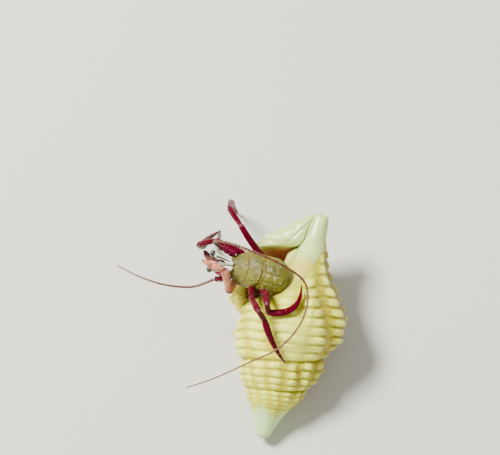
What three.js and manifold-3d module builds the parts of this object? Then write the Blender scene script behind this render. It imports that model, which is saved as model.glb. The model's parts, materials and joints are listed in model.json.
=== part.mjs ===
// A small hermit crab in a ribbed, high-spired sea snail shell that lies on its back.
// The crab has come out of the aperture and reaches over the outer lip with its claws and legs.
// Units are millimetres. +Z is up, the floor is z = 0, and the origin is at the middle of the
// footprint. The spire points towards -Y and the siphonal canal towards +Y.
//
// Everything is modelled in the shell's own frame, (l, v, s):
//   s runs along the coiling axis from the apex to the tip of the siphonal canal,
//   l points from the axis to the outer lip, and v points out of the aperture.
// One group then lays that frame on the floor.
import * as THREE from "three";
import { mergeVertices } from "three/addons/utils/BufferGeometryUtils.js";
import Module from "manifold-3d";

// ---- Driving dimensions -------------------------------------------------------------------
const shellLength = 28.5; // apex to canal tip
const girth = 7.1; // radius of the last whorl, half a turn behind the lip
const girthAt = 15.75; // where along the axis that radius is
const spirePower = 0.7; // the spire's outline is a power curve
const whorlGrowth = 1.6; // how much further out each suture lies after one turn
const sutureAtLip = 14.5; // where the suture meets the outer lip
const turnSwell = 1.18; // radius gained in half a turn
const ribsPerWhorl = 14;
const ribSlant = 12; // degrees that a rib leans from suture to suture
const cordsPerWhorl = 6;
const ribHeight = 0.045; // share of the radius
const cordHeight = 0.018;
const wornApex = [1.6, 4.2]; // the sculpture fades in between these places along the axis
const canalBend = 1.25; // how far the canal leans away from the lip
const apertureFacing = 70; // degrees above the horizon that the aperture looks
const axisLean = 12.5; // degrees that the spire leans to the left
const apexHeight = 1.62; // height of the axis at the apex, above the floor
const footprintMiddle = new THREE.Vector2(-3.735, 15.313); // from the apex to the origin
const gap = 0.06; // clearance between neighbouring pieces

const colours = {
  shell: "#e6e3a8",
  armour: "#6b1538",
  claw: "#8d3350",
  shield: "#9b9255",
  flesh: "#b98a62",
  eyestalk: "#e4dfd2",
  eye: "#14180f",
  feeler: "#4a2116",
};

const degrees = THREE.MathUtils.degToRad;
const smooth = (low, high, x) => THREE.MathUtils.smoothstep(x, low, high);
const vec = (l, v, s) => new THREE.Vector3(l, v, s);

// ---- Solids -------------------------------------------------------------------------------
const wasm = await Module();
wasm.setup();

function positionsOnly(geometry) {
  const bare = geometry.clone();
  bare.deleteAttribute("normal");
  bare.deleteAttribute("uv");
  return mergeVertices(bare, 1e-4);
}

function solid(geometry) {
  const bare = positionsOnly(geometry);
  return new wasm.Manifold(
    new wasm.Mesh({
      numProp: 3,
      vertProperties: new Float32Array(bare.attributes.position.array),
      triVerts: new Uint32Array(bare.index.array),
    }),
  );
}

function geometryOf(manifold) {
  const mesh = manifold.getMesh();
  return new THREE.BufferGeometry()
    .setAttribute("position", new THREE.BufferAttribute(mesh.vertProperties, 3))
    .setIndex(new THREE.BufferAttribute(mesh.triVerts, 1));
}

// Moves every vertex of a geometry by a function that changes it in place.
function reshape(geometry, change) {
  const position = geometry.attributes.position;
  const point = new THREE.Vector3();
  for (let i = 0; i < position.count; i++) {
    change(point.fromBufferAttribute(position, i));
    position.setXYZ(i, point.x, point.y, point.z);
  }
  return geometry;
}

// A smooth curve through [x, y] points, read at x.
function through(points, x) {
  const last = points.length - 1;
  if (x <= points[0][0]) return points[0][1];
  if (x >= points[last][0]) return points[last][1];
  const i = points.findIndex((p) => p[0] > x) - 1;
  const [x1, y1] = points[i];
  const [x2, y2] = points[i + 1];
  const before = points[Math.max(i - 1, 0)];
  const after = points[Math.min(i + 2, last)];
  const slopeIn = (y2 - before[1]) / (x2 - before[0]);
  const slopeOut = (after[1] - y1) / (after[0] - x1);
  const span = x2 - x1;
  const t = (x - x1) / span;
  return (
    (2 * t ** 3 - 3 * t ** 2 + 1) * y1 +
    (t ** 3 - 2 * t ** 2 + t) * span * slopeIn +
    (3 * t ** 2 - 2 * t ** 3) * y2 +
    (t ** 3 - t ** 2) * span * slopeOut
  );
}

// ---- The shell's surface ------------------------------------------------------------------
// Radius of the last whorl against the share of the way from its suture to the canal tip,
// half a turn behind the lip and at the lip itself.
const backOutline = [
  [0, 5.5], [0.09, 6.15], [0.15, 6.85], [0.25, 7.1], [0.33, 6.8], [0.41, 6.1], [0.53, 4.6],
  [0.6, 3.7], [0.67, 2.9], [0.74, 2.3], [0.82, 1.6], [0.9, 1.25], [1, 0.95],
];
const lipOutline = [
  [0, 5.75], [0.06, 6.85], [0.14, 7.7], [0.22, 7.9], [0.34, 7.8], [0.45, 7.4], [0.54, 6.85],
  [0.64, 6.05], [0.72, 5.45], [0.8, 4.25], [0.88, 3.05], [0.94, 2.05], [1, 1.1],
];
// The worn tip of the spire, as radius against place along the axis. The power curve takes over
// from its last point.
const apexOutline = [
  [0, 0], [0.12, 0.45], [0.5, 0.88], [1.2, 1.15], [2.1, 1.5], [3.5, 2.15], [4.6, 2.85], [6, 3.61],
];
// Where the smooth callus beside the aperture ends: azimuth against place along the axis.
const callusEdge = [
  [15.6, 0], [16.4, 38], [18.75, 74], [20.75, 98], [22.75, 125], [25, 158], [28.5, 170],
];
const callusFade = [-6, 10]; // degrees over which the sculpture fades at that edge

// The canal leans away from the lip more and more towards its tip.
const canalStart = 20.5;
const canalShift = (s) => -canalBend * smooth(canalStart, shellLength, s);

// Turns since the suture of the last whorl. It is negative on the spire, where each whole number
// is a suture.
const whorlPhase = (azimuth, s) =>
  Math.log(Math.max(s, 0.01) / sutureAtLip) / Math.log(whorlGrowth) + 1 - azimuth / 360;

const waistDepth = 0.115; // how much slimmer the shell is where the lip leaves it, as a share
const waistSpan = [9.9, 14]; // where the waist sets in along the axis

// The radius of a whorl that the next one hasn't covered, from suture (0) to suture (1).
function whorlRadius(s, across) {
  const bulge = 0.95 + 0.115 * Math.sin(Math.PI * across ** 0.75) ** 0.7;
  const waist = 1 - waistDepth * smooth(...waistSpan, s);
  const tipEnd = apexOutline[apexOutline.length - 1][0];
  return bulge * waist * (s < tipEnd ? through(apexOutline, s) : girth * (s / girthAt) ** spirePower);
}

const mouthStart = 16.1; // where the mouth begins along the axis
const columellaDip = 0.38; // how far the shell sinks beside the mouth, as a share of its radius

// The shell without its ribs and cords. Azimuth is in degrees from the lip, against the growth.
function plainRadius(azimuth, s) {
  const phase = whorlPhase(azimuth, s);
  if (phase < 0) return whorlRadius(s, phase - Math.floor(phase));
  const suture = sutureAtLip * whorlGrowth ** (azimuth / 360 - 1);
  const share = (s - suture) / (shellLength - suture);
  const swell = azimuth < 180 ? turnSwell ** (azimuth / 180 - 1) : 1;
  const towardsLip = Math.max(azimuth / 180 - 1, 0) ** 1.3;
  const lip = through(lipOutline, share);
  const radius = THREE.MathUtils.lerp(through(backOutline, share) * swell, lip, towardsLip);
  const columella = (1 - smooth(25, 100, azimuth)) * smooth(15.8, 18.5, s) * (1 - smooth(24.5, 27, s));
  const beside = radius * (1 - columellaDip * columella);
  const underLip = (1 - smooth(0, 90, azimuth)) * (1 - smooth(sutureAtLip, mouthStart, s));
  return THREE.MathUtils.lerp(beside, whorlRadius(s, Math.min(phase, 1)), underLip);
}

function shellRadius(azimuth, s) {
  const phase = whorlPhase(azimuth, s);
  const across = phase < 0 ? phase - Math.floor(phase) : phase;
  const edge = s < callusEdge[0][0] ? -20 : through(callusEdge, s);
  const rough = smooth(...wornApex, s) * smooth(edge + callusFade[0], edge + callusFade[1], azimuth);
  const rib = (0.5 + 0.5 * Math.cos(degrees(ribsPerWhorl * (azimuth + ribSlant * across)))) ** 1.3;
  const ribFade = Math.sin(Math.PI * Math.min(across, 0.5)) ** 0.5 * (1 - smooth(24, 28, s));
  const cord = 0.5 + 0.5 * Math.cos(2 * Math.PI * cordsPerWhorl * phase);
  const relief = ribHeight * rib * ribFade * (0.7 + 0.3 * cord) + cordHeight * cord;
  return plainRadius(azimuth, s) * (1 + rough * relief);
}

function shellOuter() {
  const columns = 56;
  const rows = 34;
  const rings = [];
  for (let i = 0; i <= rows; i++) {
    const s = shellLength * (i / rows) ** 1.12;
    rings.push(new THREE.Vector2(i === 0 || i === rows ? 0 : 1, s));
  }
  rings.splice(-1, 0, new THREE.Vector2(1, shellLength - 0.01));
  const lathe = positionsOnly(new THREE.LatheGeometry(rings, columns));
  const widest = 360 * (1 - 1 / columns);
  return reshape(lathe, (p) => {
    const s = p.y;
    const turned = (THREE.MathUtils.radToDeg(Math.atan2(p.x, p.z)) + 360) % 360;
    const azimuth = 1 + (358 * Math.min(turned, widest)) / widest;
    const radius = Math.hypot(p.x, p.z) < 0.5 ? 0 : shellRadius(azimuth, s);
    const angle = degrees(azimuth);
    p.set(radius * Math.cos(angle) + canalShift(s), radius * Math.sin(angle), s);
  });
}

// The mouth of the shell at the lip, as a closed outline of [radius, s], outer side first.
const mouthOutline = [
  [5.3, 16.5], [5.8, 16.9], [6, 17.5], [6.2, 18.5], [6.5, 19.5], [6.4, 20.8], [5.9, 22], [5, 23],
  [4, 23.7], [3.1, 24.1], [2.6, 24], [2.2, 23], [2.3, 21.6], [2.6, 20.5], [3.2, 19.5], [4.1, 18.4],
  [4.4, 17.5], [4.6, 16.9], [5, 16.5],
];
const mouthMiddle = new THREE.Vector2(4.5, 20);
const mouthDepth = 105; // degrees of the last whorl that stay hollow behind the lip
const mouthOverrun = 14; // degrees that the cutting tool reaches out of the mouth

function shellHollow() {
  const outline = new THREE.Shape(mouthOutline.map(([r, s]) => new THREE.Vector2(r, s)));
  const steps = 11;
  const block = new THREE.ExtrudeGeometry(outline, { depth: 1, steps, bevelEnabled: false });
  return reshape(positionsOnly(block), (p) => {
    const depth = p.z;
    const shrink = 1 - 0.5 * smooth(0.05, 1, depth);
    const radius = mouthMiddle.x + (p.x - mouthMiddle.x) * shrink;
    const s = mouthMiddle.y + (p.y - mouthMiddle.y) * shrink;
    const angle = degrees(mouthOverrun - (mouthDepth + mouthOverrun) * depth);
    p.set(radius * Math.cos(angle) + canalShift(s), radius * Math.sin(angle), s);
  });
}

// ---- Laying the shell's frame on the floor --------------------------------------------------
const facing = degrees(apertureFacing);
const lean = degrees(axisLean);
const outOfMouth = new THREE.Vector3(0, -Math.cos(facing), Math.sin(facing));
const climb = new THREE.Vector3(0, Math.sin(facing), Math.cos(facing));
const alongAxis = new THREE.Vector3(Math.sin(lean), 0, 0).addScaledVector(climb, Math.cos(lean));
const toLip = new THREE.Vector3(-Math.cos(lean), 0, 0).addScaledVector(climb, Math.sin(lean));
const laid = new THREE.Matrix4()
  .makeBasis(toLip, outOfMouth, alongAxis)
  .setPosition(-footprintMiddle.x, -footprintMiddle.y, apexHeight);

const floorBlock = solid(
  new THREE.BoxGeometry(200, 200, 20).translate(0, 0, -10).applyMatrix4(laid.clone().invert()),
);
const aboveFloor = (manifold) => manifold.subtract(floorBlock);

// The v at which a point (l, s) of the shell's frame meets the floor, plus a height above it.
function floorV(l, s, above = 0) {
  const base = vec(l, 0, s).applyMatrix4(laid).z;
  return (above - base) / outOfMouth.z;
}

// ---- Limb pieces ----------------------------------------------------------------------------
// A tapered piece from one joint to the next. rings is a list of [share of length, radius];
// wide and deep scale its section, and bend bows its middle by that vector.
const plainSection = { sides: 8, wide: 1, deep: 1, up: vec(0, 1, 0), bend: vec(0, 0, 0) };

function limbPiece(from, to, rings, options = {}) {
  const { sides, wide, deep, up, bend } = { ...plainSection, ...options };
  const length = from.distanceTo(to);
  const solidLength = length - 2 * gap;
  const profile = rings.map(([share, radius]) => new THREE.Vector2(radius, gap + share * solidLength));
  profile.unshift(new THREE.Vector2(0, gap));
  profile.push(new THREE.Vector2(0, length - gap));
  const forward = to.clone().sub(from).normalize();
  const side = new THREE.Vector3().crossVectors(up, forward).normalize();
  const top = new THREE.Vector3().crossVectors(forward, side);
  const lathe = positionsOnly(new THREE.LatheGeometry(profile, sides));
  return reshape(lathe, (p) => {
    const share = p.y / length;
    const across = p.x * wide;
    const along = p.y;
    const above = p.z * deep;
    p.copy(from)
      .addScaledVector(forward, along)
      .addScaledVector(side, -across)
      .addScaledVector(top, above)
      .addScaledVector(bend, 4 * share * (1 - share));
  });
}

// The same piece grown by a margin all round, to cut its room out of a neighbour.
function roomFor(from, to, rings, options, margin = gap) {
  const reach = to.clone().sub(from).normalize().multiplyScalar(2 * margin);
  const grown = rings.map(([share, radius]) => [share, radius + margin]);
  return solid(limbPiece(from.clone().sub(reach), to.clone().add(reach), grown, options));
}

const shaft = (r0, r1) => [[0, r0 * 0.6], [0.1, r0], [0.9, r1], [1, r1 * 0.6]];
const hook = (r) => [[0, r * 0.6], [0.1, r], [0.45, r * 0.82], [0.75, r * 0.55], [1, 0.1]];
const bulb = (r) => [[0, r * 0.45], [0.15, r * 0.8], [0.45, r], [0.8, r * 0.75], [1, r * 0.25]];

function feeler(points, thickness, steps) {
  const sides = 6;
  const section = new THREE.Shape(
    Array.from({ length: sides }, (_, i) => {
      const angle = (2 * Math.PI * i) / sides;
      return new THREE.Vector2((thickness / 2) * Math.cos(angle), (thickness / 2) * Math.sin(angle));
    }),
  );
  const path = new THREE.CatmullRomCurve3(points);
  return new THREE.ExtrudeGeometry(section, { extrudePath: path, steps, bevelEnabled: false });
}

// ---- Where the crab's body is ---------------------------------------------------------------
// The crab's own frame: forward is over the outer lip and a little down, right is towards the
// siphonal canal, and up is out of the mouth. Its origin is between the eyes.
const bodyPitch = degrees(12);
const forward = vec(Math.cos(bodyPitch), -Math.sin(bodyPitch), 0);
const upward = vec(Math.sin(bodyPitch), Math.cos(bodyPitch), 0);
const rightward = vec(0, 0, 1);
const brow = vec(8.6, 3.75, 20.3);
const onBody = (ahead, right, above) =>
  brow
    .clone()
    .addScaledVector(forward, ahead)
    .addScaledVector(rightward, right)
    .addScaledVector(upward, above);

const thoraxLength = 7.4;
const thoraxHalfWidth = 2.1;
const thoraxHalfDepth = 1.35;
const shieldLength = 4.1;
const shieldThickness = 0.32;

// The thorax's shape, grown outwards by a margin.
function thoraxShape(margin) {
  const rings = [
    [0, 0.3], [0.025, 0.55], [0.08, 0.78], [0.2, 0.95], [0.4, 1], [0.6, 0.96], [0.78, 0.84],
    [0.9, 0.68], [0.98, 0.5],
  ].map(([share, size]) => [share, size * (1 + margin / thoraxHalfDepth)]);
  return limbPiece(onBody(-thoraxLength - margin, 0, -1.1), onBody(margin - 0.1, 0, -1.1), rings, {
    sides: 16,
    wide: thoraxHalfWidth,
    deep: thoraxHalfDepth,
    up: upward,
  });
}
const thoraxRoom = solid(thoraxShape(gap * 2));

// The soft abdomen bends down into the shell's last whorl.
const abdomenPath = [
  vec(4.1, 3.4, 20.2), vec(4.5, 1.4, 20), vec(4.7, -0.6, 19.7), vec(4.1, -2.6, 19.4), vec(2.9, -4.2, 19),
];
const abdomenRadii = [1.3, 1.3, 1.2, 1, 0.6];

// A soft tube with closed ends whose radius changes along a curve.
function softTube(points, radii, sides, steps) {
  const path = new THREE.CatmullRomCurve3(points);
  const frames = path.computeFrenetFrames(steps);
  const tube = new THREE.CylinderGeometry(1, 1, 1, sides, steps);
  return reshape(positionsOnly(tube), (p) => {
    const share = p.y + 0.5;
    const step = Math.round(share * steps);
    const radius = through(
      radii.map((r, i) => [i / (radii.length - 1), r]),
      share,
    );
    const { x, z } = p;
    p.copy(path.getPoint(share))
      .addScaledVector(frames.normals[step], x * radius)
      .addScaledVector(frames.binormals[step], -z * radius);
  });
}

const abdomenShape = (margin) => softTube(abdomenPath, abdomenRadii.map((r) => r + margin), 10, 10);

// The shield covers the front half of the thorax's back.
const shieldPlace = new THREE.Matrix4()
  .makeBasis(upward, rightward, forward)
  .setPosition(onBody(10 - shieldLength, 0, 9.65));
const shieldBlock = solid(new THREE.BoxGeometry(20, 20, 20).applyMatrix4(shieldPlace));
const shieldShape = (margin) => solid(thoraxShape(shieldThickness + margin)).intersect(shieldBlock);
const bodyRoom = thoraxRoom.add(solid(abdomenShape(gap * 2))).add(shieldShape(gap * 2));

// ---- The model ------------------------------------------------------------------------------
const crab = new THREE.Group();
crab.applyMatrix4(laid);

function addPiece(name, geometry, colour, roughness = 0.35) {
  const material = new THREE.MeshStandardMaterial({ color: colours[colour], roughness, metalness: 0 });
  const mesh = new THREE.Mesh(geometry, material);
  mesh.name = name;
  crab.add(mesh);
}

const shell = aboveFloor(solid(shellOuter()).subtract(solid(shellHollow())));
addPiece("shell", geometryOf(shell), "shell", 0.6);

addPiece("thorax", thoraxShape(0), "flesh");
addPiece("abdomen", geometryOf(solid(abdomenShape(0)).subtract(thoraxRoom)), "flesh");

addPiece("shield", geometryOf(shieldShape(0).subtract(thoraxRoom)), "shield");

// ---- Walking legs ---------------------------------------------------------------------------
// Joints from the body to the claw-like tip, as [l, v, s]. The right legs stand on the floor; the
// left legs arch over the shell and rest just above it.
const onFloor = (l, s) => [l, floorV(l, s, -0.05), s];
const legs = {
  leg_right_front: [
    [6.4, 2, 21.9], [10.9, 3, 23], [13, 0.6, 21.9], [12.5, -4, 21.7], onFloor(10.8, 24.2),
  ],
  leg_right_rear: [
    [4.6, 2.8, 21.8], [8.3, 4.2, 25.4], [10.2, 1.5, 27.2], [10.1, -3.9, 27.9], onFloor(8.9, 26.7),
  ],
  leg_left_front: [
    [5.4, 1.8, 18.4], [5.1, 6.9, 17], [4.1, 9.9, 15.9], [2.95, 7.9, 14.75], [-0.7, 5.55, 10.1],
  ],
  leg_left_rear: [
    [3.9, 2, 18.1], [3.5, 6.4, 17.9], [3.2, 8.5, 17], [2.75, 6.65, 15.7], [-0.5, 5.4, 19.9],
  ],
};
const legBend = {
  leg_right_front: vec(0.6, 0, -0.3),
  leg_right_rear: vec(0.5, 0, 0.4),
  leg_left_front: vec(0.35, 0.45, -0.1),
  leg_left_rear: vec(-1.1, 0.8, -1.25),
};
const legRadii = [0.56, 0.5, 0.48, 0.44, 0.42];
const legSegments = ["merus", "carpus", "propodus", "dactylus"];

for (const [leg, points] of Object.entries(legs)) {
  const joints = points.map((p) => vec(...p));
  let room = bodyRoom;
  legSegments.forEach((segment, i) => {
    const isTip = i === legSegments.length - 1;
    const rings = isTip ? hook(legRadii[i]) : shaft(legRadii[i], legRadii[i + 1]);
    const options = isTip ? { bend: legBend[leg] } : { wide: 0.82 };
    const piece = solid(limbPiece(joints[i], joints[i + 1], rings, options)).subtract(room);
    addPiece(`${leg}_${segment}`, geometryOf(aboveFloor(piece)), "armour");
    room = roomFor(joints[i], joints[i + 1], rings, options);
  });
}

// ---- Claws ----------------------------------------------------------------------------------
// Joints: shoulder, elbow, wrist and fingertip; breadth is the palm's half-width, and outside is
// the direction from the fixed finger to the moving one.
const claws = {
  claw_right: {
    joints: [[6.6, 0.9, 21.3], [8.6, 0.75, 18.55], [10.1, -0.5, 19.4], [11.9, -3.8, 21]],
    breadth: 0.95,
    arm: 0.55,
    outside: vec(0.63, 0.57, 0.53),
  },
  claw_left: {
    joints: [[7.4, 1.7, 18.9], [8.1, 3.1, 17], [9, 5.4, 19.7], [12.1, 5.3, 20.2]],
    breadth: 0.72,
    arm: 0.5,
    outside: vec(0, 1, 0),
  },
};

for (const [claw, { joints, breadth, arm, outside }] of Object.entries(claws)) {
  const [shoulder, elbow, wrist, fingertip] = joints.map((p) => vec(...p));
  const upper = shaft(arm * 0.8, arm);
  const lower = shaft(arm * 0.9, arm * 1.15);
  const merus = solid(limbPiece(shoulder, elbow, upper)).subtract(bodyRoom);
  const carpus = solid(limbPiece(elbow, wrist, lower)).subtract(roomFor(shoulder, elbow, upper));
  addPiece(`${claw}_merus`, geometryOf(merus), "armour");
  addPiece(`${claw}_carpus`, geometryOf(carpus), "armour");

  const reach = fingertip.clone().sub(wrist);
  const along = (share, aside) =>
    wrist.clone().addScaledVector(reach, share).addScaledVector(outside, aside);
  const flat = { deep: 0.72, up: new THREE.Vector3().crossVectors(reach, outside).normalize() };
  const knuckle = [along(0.5, 0.55 * breadth), along(0.99, 0.25), hook(breadth * 0.42)];
  const curve = { ...flat, bend: outside.clone().multiplyScalar(breadth * 0.25) };
  const palm = solid(limbPiece(wrist, along(0.72, -0.1 * breadth), bulb(breadth), flat));
  const fixedFinger = solid(
    limbPiece(along(0.45, -0.45 * breadth), along(1, -0.1), hook(breadth * 0.45), flat),
  );
  const hand = palm
    .add(fixedFinger)
    .subtract(roomFor(...knuckle, curve))
    .subtract(roomFor(elbow, wrist, lower));
  addPiece(`${claw}_palm`, geometryOf(aboveFloor(hand)), "claw");
  addPiece(`${claw}_finger`, geometryOf(aboveFloor(solid(limbPiece(...knuckle, curve)))), "claw");
}

// ---- Eyes and feelers -------------------------------------------------------------------------
const sidesOfHead = { right: 1, left: -1 };
const eyestalkLength = 2.3;
const eyeLength = 0.75;
const stalkRings = [[0, 0.3], [0.15, 0.36], [0.5, 0.28], [0.85, 0.34], [1, 0.3]];
const feelerThickness = 0.5;

for (const [side, sign] of Object.entries(sidesOfHead)) {
  const root = onBody(-0.3, 0.5 * sign, 0.05);
  const stalkEnd = onBody(eyestalkLength - 0.3, 0.95 * sign, 0.5);
  const beyond = stalkEnd.clone().sub(root).normalize().multiplyScalar(eyeLength).add(stalkEnd);
  const stalk = solid(limbPiece(root, stalkEnd, stalkRings));
  const scale = solid(limbPiece(onBody(-0.2, 0.35 * sign, 0.3), onBody(0.9, 0.5 * sign, 0.55), hook(0.22)));
  addPiece(`eyestalk_${side}`, geometryOf(stalk.add(scale).subtract(thoraxRoom)), "eyestalk");
  addPiece(`eye_${side}`, limbPiece(stalkEnd, beyond, bulb(0.42)), "eye", 0.1);

  const antennulePath = [
    onBody(-0.1, 0.25 * sign, -0.65),
    onBody(1.3, 0.3 * sign, -0.5),
    onBody(2.4, 0.35 * sign, 0.3),
  ];
  const antennule = solid(feeler(antennulePath, feelerThickness, 6));
  addPiece(`antennule_${side}`, geometryOf(antennule.subtract(thoraxRoom)), "feeler");

  const palpEnds = [onBody(-0.5, 0.5 * sign, -2.2), onBody(1.1, 0.42 * sign, -1.8)];
  const mouthpart = solid(limbPiece(...palpEnds, shaft(0.36, 0.3)));
  addPiece(`mouthpart_${side}`, geometryOf(mouthpart.subtract(thoraxRoom)), "claw");
}

const feelers = {
  left: {
    base: [onBody(-0.4, -1.35, -0.7), onBody(1.7, -2.1, -1.1)],
    path: [
      onBody(1.75, -2.12, -1.1), vec(12.5, 2.2, 16.7), vec(16, 2.5, 16.2), vec(19.2, 2.3, 16.5),
      vec(22.2, 1.6, 17.2),
    ],
  },
  right: {
    base: [onBody(-0.4, 1.35, -0.7), onBody(1.7, 2, 0.3)],
    path: [
      onBody(1.75, 2.02, 0.33), vec(11.1, 5.2, 22.7), vec(9.6, 7, 23), vec(6, 7.9, 22.6),
      vec(2, 7.4, 21.7), vec(-0.8, 6.7, 20.3), vec(-1.6, 6.9, 18.3), vec(-1.3, 7.9, 15.3),
      vec(0.45, 8.1, 12.1), vec(3.9, 6.6, 9.2), vec(8, 4.4, 6), vec(10.6, 3, 4.4),
    ],
  },
};

for (const [side, { base, path }] of Object.entries(feelers)) {
  const peduncle = solid(limbPiece(base[0], base[1], shaft(0.45, 0.32)));
  addPiece(`antenna_base_${side}`, geometryOf(peduncle.subtract(thoraxRoom)), "armour");
  addPiece(`antenna_${side}`, feeler(path, feelerThickness, path.length * 3), "feeler");
}

export default crab;
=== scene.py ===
"""A small hermit crab that reaches out of a ribbed sea snail shell, modelled round its CAD frame.

The CAD nodes give every place and size. Each one is replaced here by a finer piece: the shell with
its ribs and cords, one skin for the soft body, jointed legs and claws, eyes, feelers and bristles.
Lengths in the shell's own frame are millimetres; everything in the scene is metres.
"""

import json
import math
from collections import namedtuple

import bpy
import numpy as np
from bpy.props import FloatProperty, FloatVectorProperty, IntProperty, PointerProperty
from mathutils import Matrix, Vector

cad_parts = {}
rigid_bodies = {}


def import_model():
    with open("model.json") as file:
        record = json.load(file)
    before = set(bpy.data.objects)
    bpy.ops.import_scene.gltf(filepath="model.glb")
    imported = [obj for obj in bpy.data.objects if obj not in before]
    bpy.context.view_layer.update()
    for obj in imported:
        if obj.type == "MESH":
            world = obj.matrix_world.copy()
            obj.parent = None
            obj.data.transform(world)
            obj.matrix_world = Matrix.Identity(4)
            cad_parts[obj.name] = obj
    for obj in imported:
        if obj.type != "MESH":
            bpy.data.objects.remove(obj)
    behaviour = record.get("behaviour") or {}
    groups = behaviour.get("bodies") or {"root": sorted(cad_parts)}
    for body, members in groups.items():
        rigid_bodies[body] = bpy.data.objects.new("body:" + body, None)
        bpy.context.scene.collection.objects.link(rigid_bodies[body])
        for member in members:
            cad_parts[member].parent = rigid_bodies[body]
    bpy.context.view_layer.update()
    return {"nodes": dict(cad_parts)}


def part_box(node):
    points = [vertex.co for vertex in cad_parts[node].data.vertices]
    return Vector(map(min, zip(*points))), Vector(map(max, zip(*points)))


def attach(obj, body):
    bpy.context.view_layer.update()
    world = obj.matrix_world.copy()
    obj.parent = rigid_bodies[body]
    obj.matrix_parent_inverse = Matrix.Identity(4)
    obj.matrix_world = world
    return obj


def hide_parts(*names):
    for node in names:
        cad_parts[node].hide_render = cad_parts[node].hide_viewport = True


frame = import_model()

bl_info = {
    "name": "Hermit crab in a snail shell",
    "version": (1, 0, 0),
    "blender": (4, 5, 0),
    "location": "3D View > Sidebar > Hermit crab",
    "description": "Models a small hermit crab and its ribbed shell, piece by piece",
    "category": "Add Mesh",
}

MM = 0.001


def linear(colour):
    """A hex colour as linear red, green and blue."""
    shares = [int(colour[i : i + 2], 16) / 255 for i in (1, 3, 5)]
    return [c / 12.92 if c <= 0.04045 else ((c + 0.055) / 1.055) ** 2.4 for c in shares]


def colour_property(name, description, colour):
    return FloatVectorProperty(
        name=name, description=description, subtype="COLOR", size=3, min=0, max=1, default=linear(colour)
    )


def length_property(name, description, millimetres):
    return FloatProperty(
        name=name, description=description, unit="LENGTH", min=0, default=millimetres * MM, precision=5
    )


# ---- What a user would change -------------------------------------------------------------------
class ShellSettings(bpy.types.PropertyGroup):
    ribs: IntProperty(name="Ribs", description="Ribs on each whorl", default=14, min=6, max=24)
    rib_height: FloatProperty(
        name="Rib height", description="Height of a rib as a share of the radius",
        default=0.07, min=0, max=0.2,
    )
    groove_depth: FloatProperty(
        name="Groove depth", description="Depth of the spiral grooves as a share of the radius",
        default=0.042, min=0, max=0.1,
    )
    worn: length_property("Worn apex", "How far down from the apex the sculpture is worn away", 5.6)
    # The nodules' own paler tone on their tops, with a painted highlight added to it.
    crest: colour_property("Crest", "Top of the nodules", "#faff66")
    body: colour_property("Body", "Between the nodules", "#d8d624")
    # The groove colour serves for real dirt and stains, and also for painted shade in the grooves.
    groove: colour_property("Groove", "Grooves and sutures", "#b09c18")
    callus: colour_property("Callus", "Polished callus and canal", "#cfe88c")
    apex: colour_property("Apex", "Worn apex", "#cbeca0")
    throat: colour_property("Throat", "Inside of the mouth", "#e8a878")


class BodySettings(bpy.types.PropertyGroup):
    skin: colour_property("Skin", "Soft skin of the body", "#766d10")
    skin_dark: colour_property("Skin mottling", "Darker mottling of the skin", "#57560f")
    joint: colour_property("Joint skin", "Soft skin between the limb pieces", "#7c2f3e")
    joint_dark: colour_property("Joint skin mottling", "Darker mottling of the joint skin", "#4a1024")
    shield: colour_property("Shield", "Hard shield behind the eyes", "#706a12")
    shield_dark: colour_property("Shield mottling", "Darker mottling of the shield", "#5e5a1c")
    eyestalk: colour_property("Eyestalk", "Eyestalks", "#e6e2d2")
    stripe: colour_property("Stripe", "Stripes along the eyestalks", "#2c120c")
    eye: colour_property("Eye", "Cornea", "#0f2a1c")
    feeler: colour_property("Feeler", "Feelers", "#3c1608")
    feeler_band: colour_property("Feeler band", "Lighter bands of the feelers", "#6a4020")


class LimbSettings(bpy.types.PropertyGroup):
    armour: colour_property("Armour", "Walking legs", "#4e0010")
    armour_light: colour_property("Armour highlight", "Wine-red bloom on the legs", "#6a0430")
    joint_band: colour_property("Joint band", "Lighter bands at the joints", "#741834")
    claw: colour_property("Claw", "Larger claw and its arm", "#560420")
    claw_light: colour_property("Claw highlight", "Lighter grains of the larger claw", "#8a1e46")
    claw_pale: colour_property("Pale claw", "Smaller claw, its arm and the palps", "#c47a60")
    claw_pale_light: colour_property("Pale claw highlight", "Lighter grains of the smaller claw", "#e3b08e")
    horn: colour_property("Horn", "Horny tips and spines", "#2c0a0c")
    bristle: colour_property("Bristle", "Bristles", "#7a4a2c")
    bristles: IntProperty(
        name="Bristles", description="Bristles on each leg piece", default=20, min=0, max=200
    )
    bristle_length: length_property("Bristle length", "Longest bristle", 0.45)


class StageSettings(bpy.types.PropertyGroup):
    distance: length_property("Camera distance", "From the camera to the shell's mouth", 250)
    lens: FloatProperty(name="Lens", description="Focal length in millimetres", default=144, min=20, max=300)
    floor: colour_property("Floor", "Floor", "#d9d8cf")
    key: FloatProperty(name="Key light", description="Power of the main light", unit="POWER", default=4.6)
    fill: FloatProperty(name="Fill light", description="Power of the fill light", unit="POWER", default=0.25)
    surround: FloatProperty(name="Surround", description="Strength of the even light all round", default=0.54)


SIDES = ("left", "right")
SETTINGS = {
    "hermit_shell": ShellSettings,
    "hermit_body": BodySettings,
    "hermit_limbs": LimbSettings,
    "hermit_stage": StageSettings,
}


# ---- The shell's own frame ----------------------------------------------------------------------
# l points from the axis to the outer lip, v out of the mouth, and s from the apex along the axis.
FACING = math.radians(70)
LEAN = math.radians(12.5)
OUT_OF_MOUTH = np.array((0, -math.cos(FACING), math.sin(FACING)))
CLIMB = np.array((0, math.sin(FACING), math.cos(FACING)))
SIDEWAYS = np.array((1.0, 0, 0))
ALONG_AXIS = SIDEWAYS * math.sin(LEAN) + CLIMB * math.cos(LEAN)
TO_LIP = -SIDEWAYS * math.cos(LEAN) + CLIMB * math.sin(LEAN)


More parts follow.
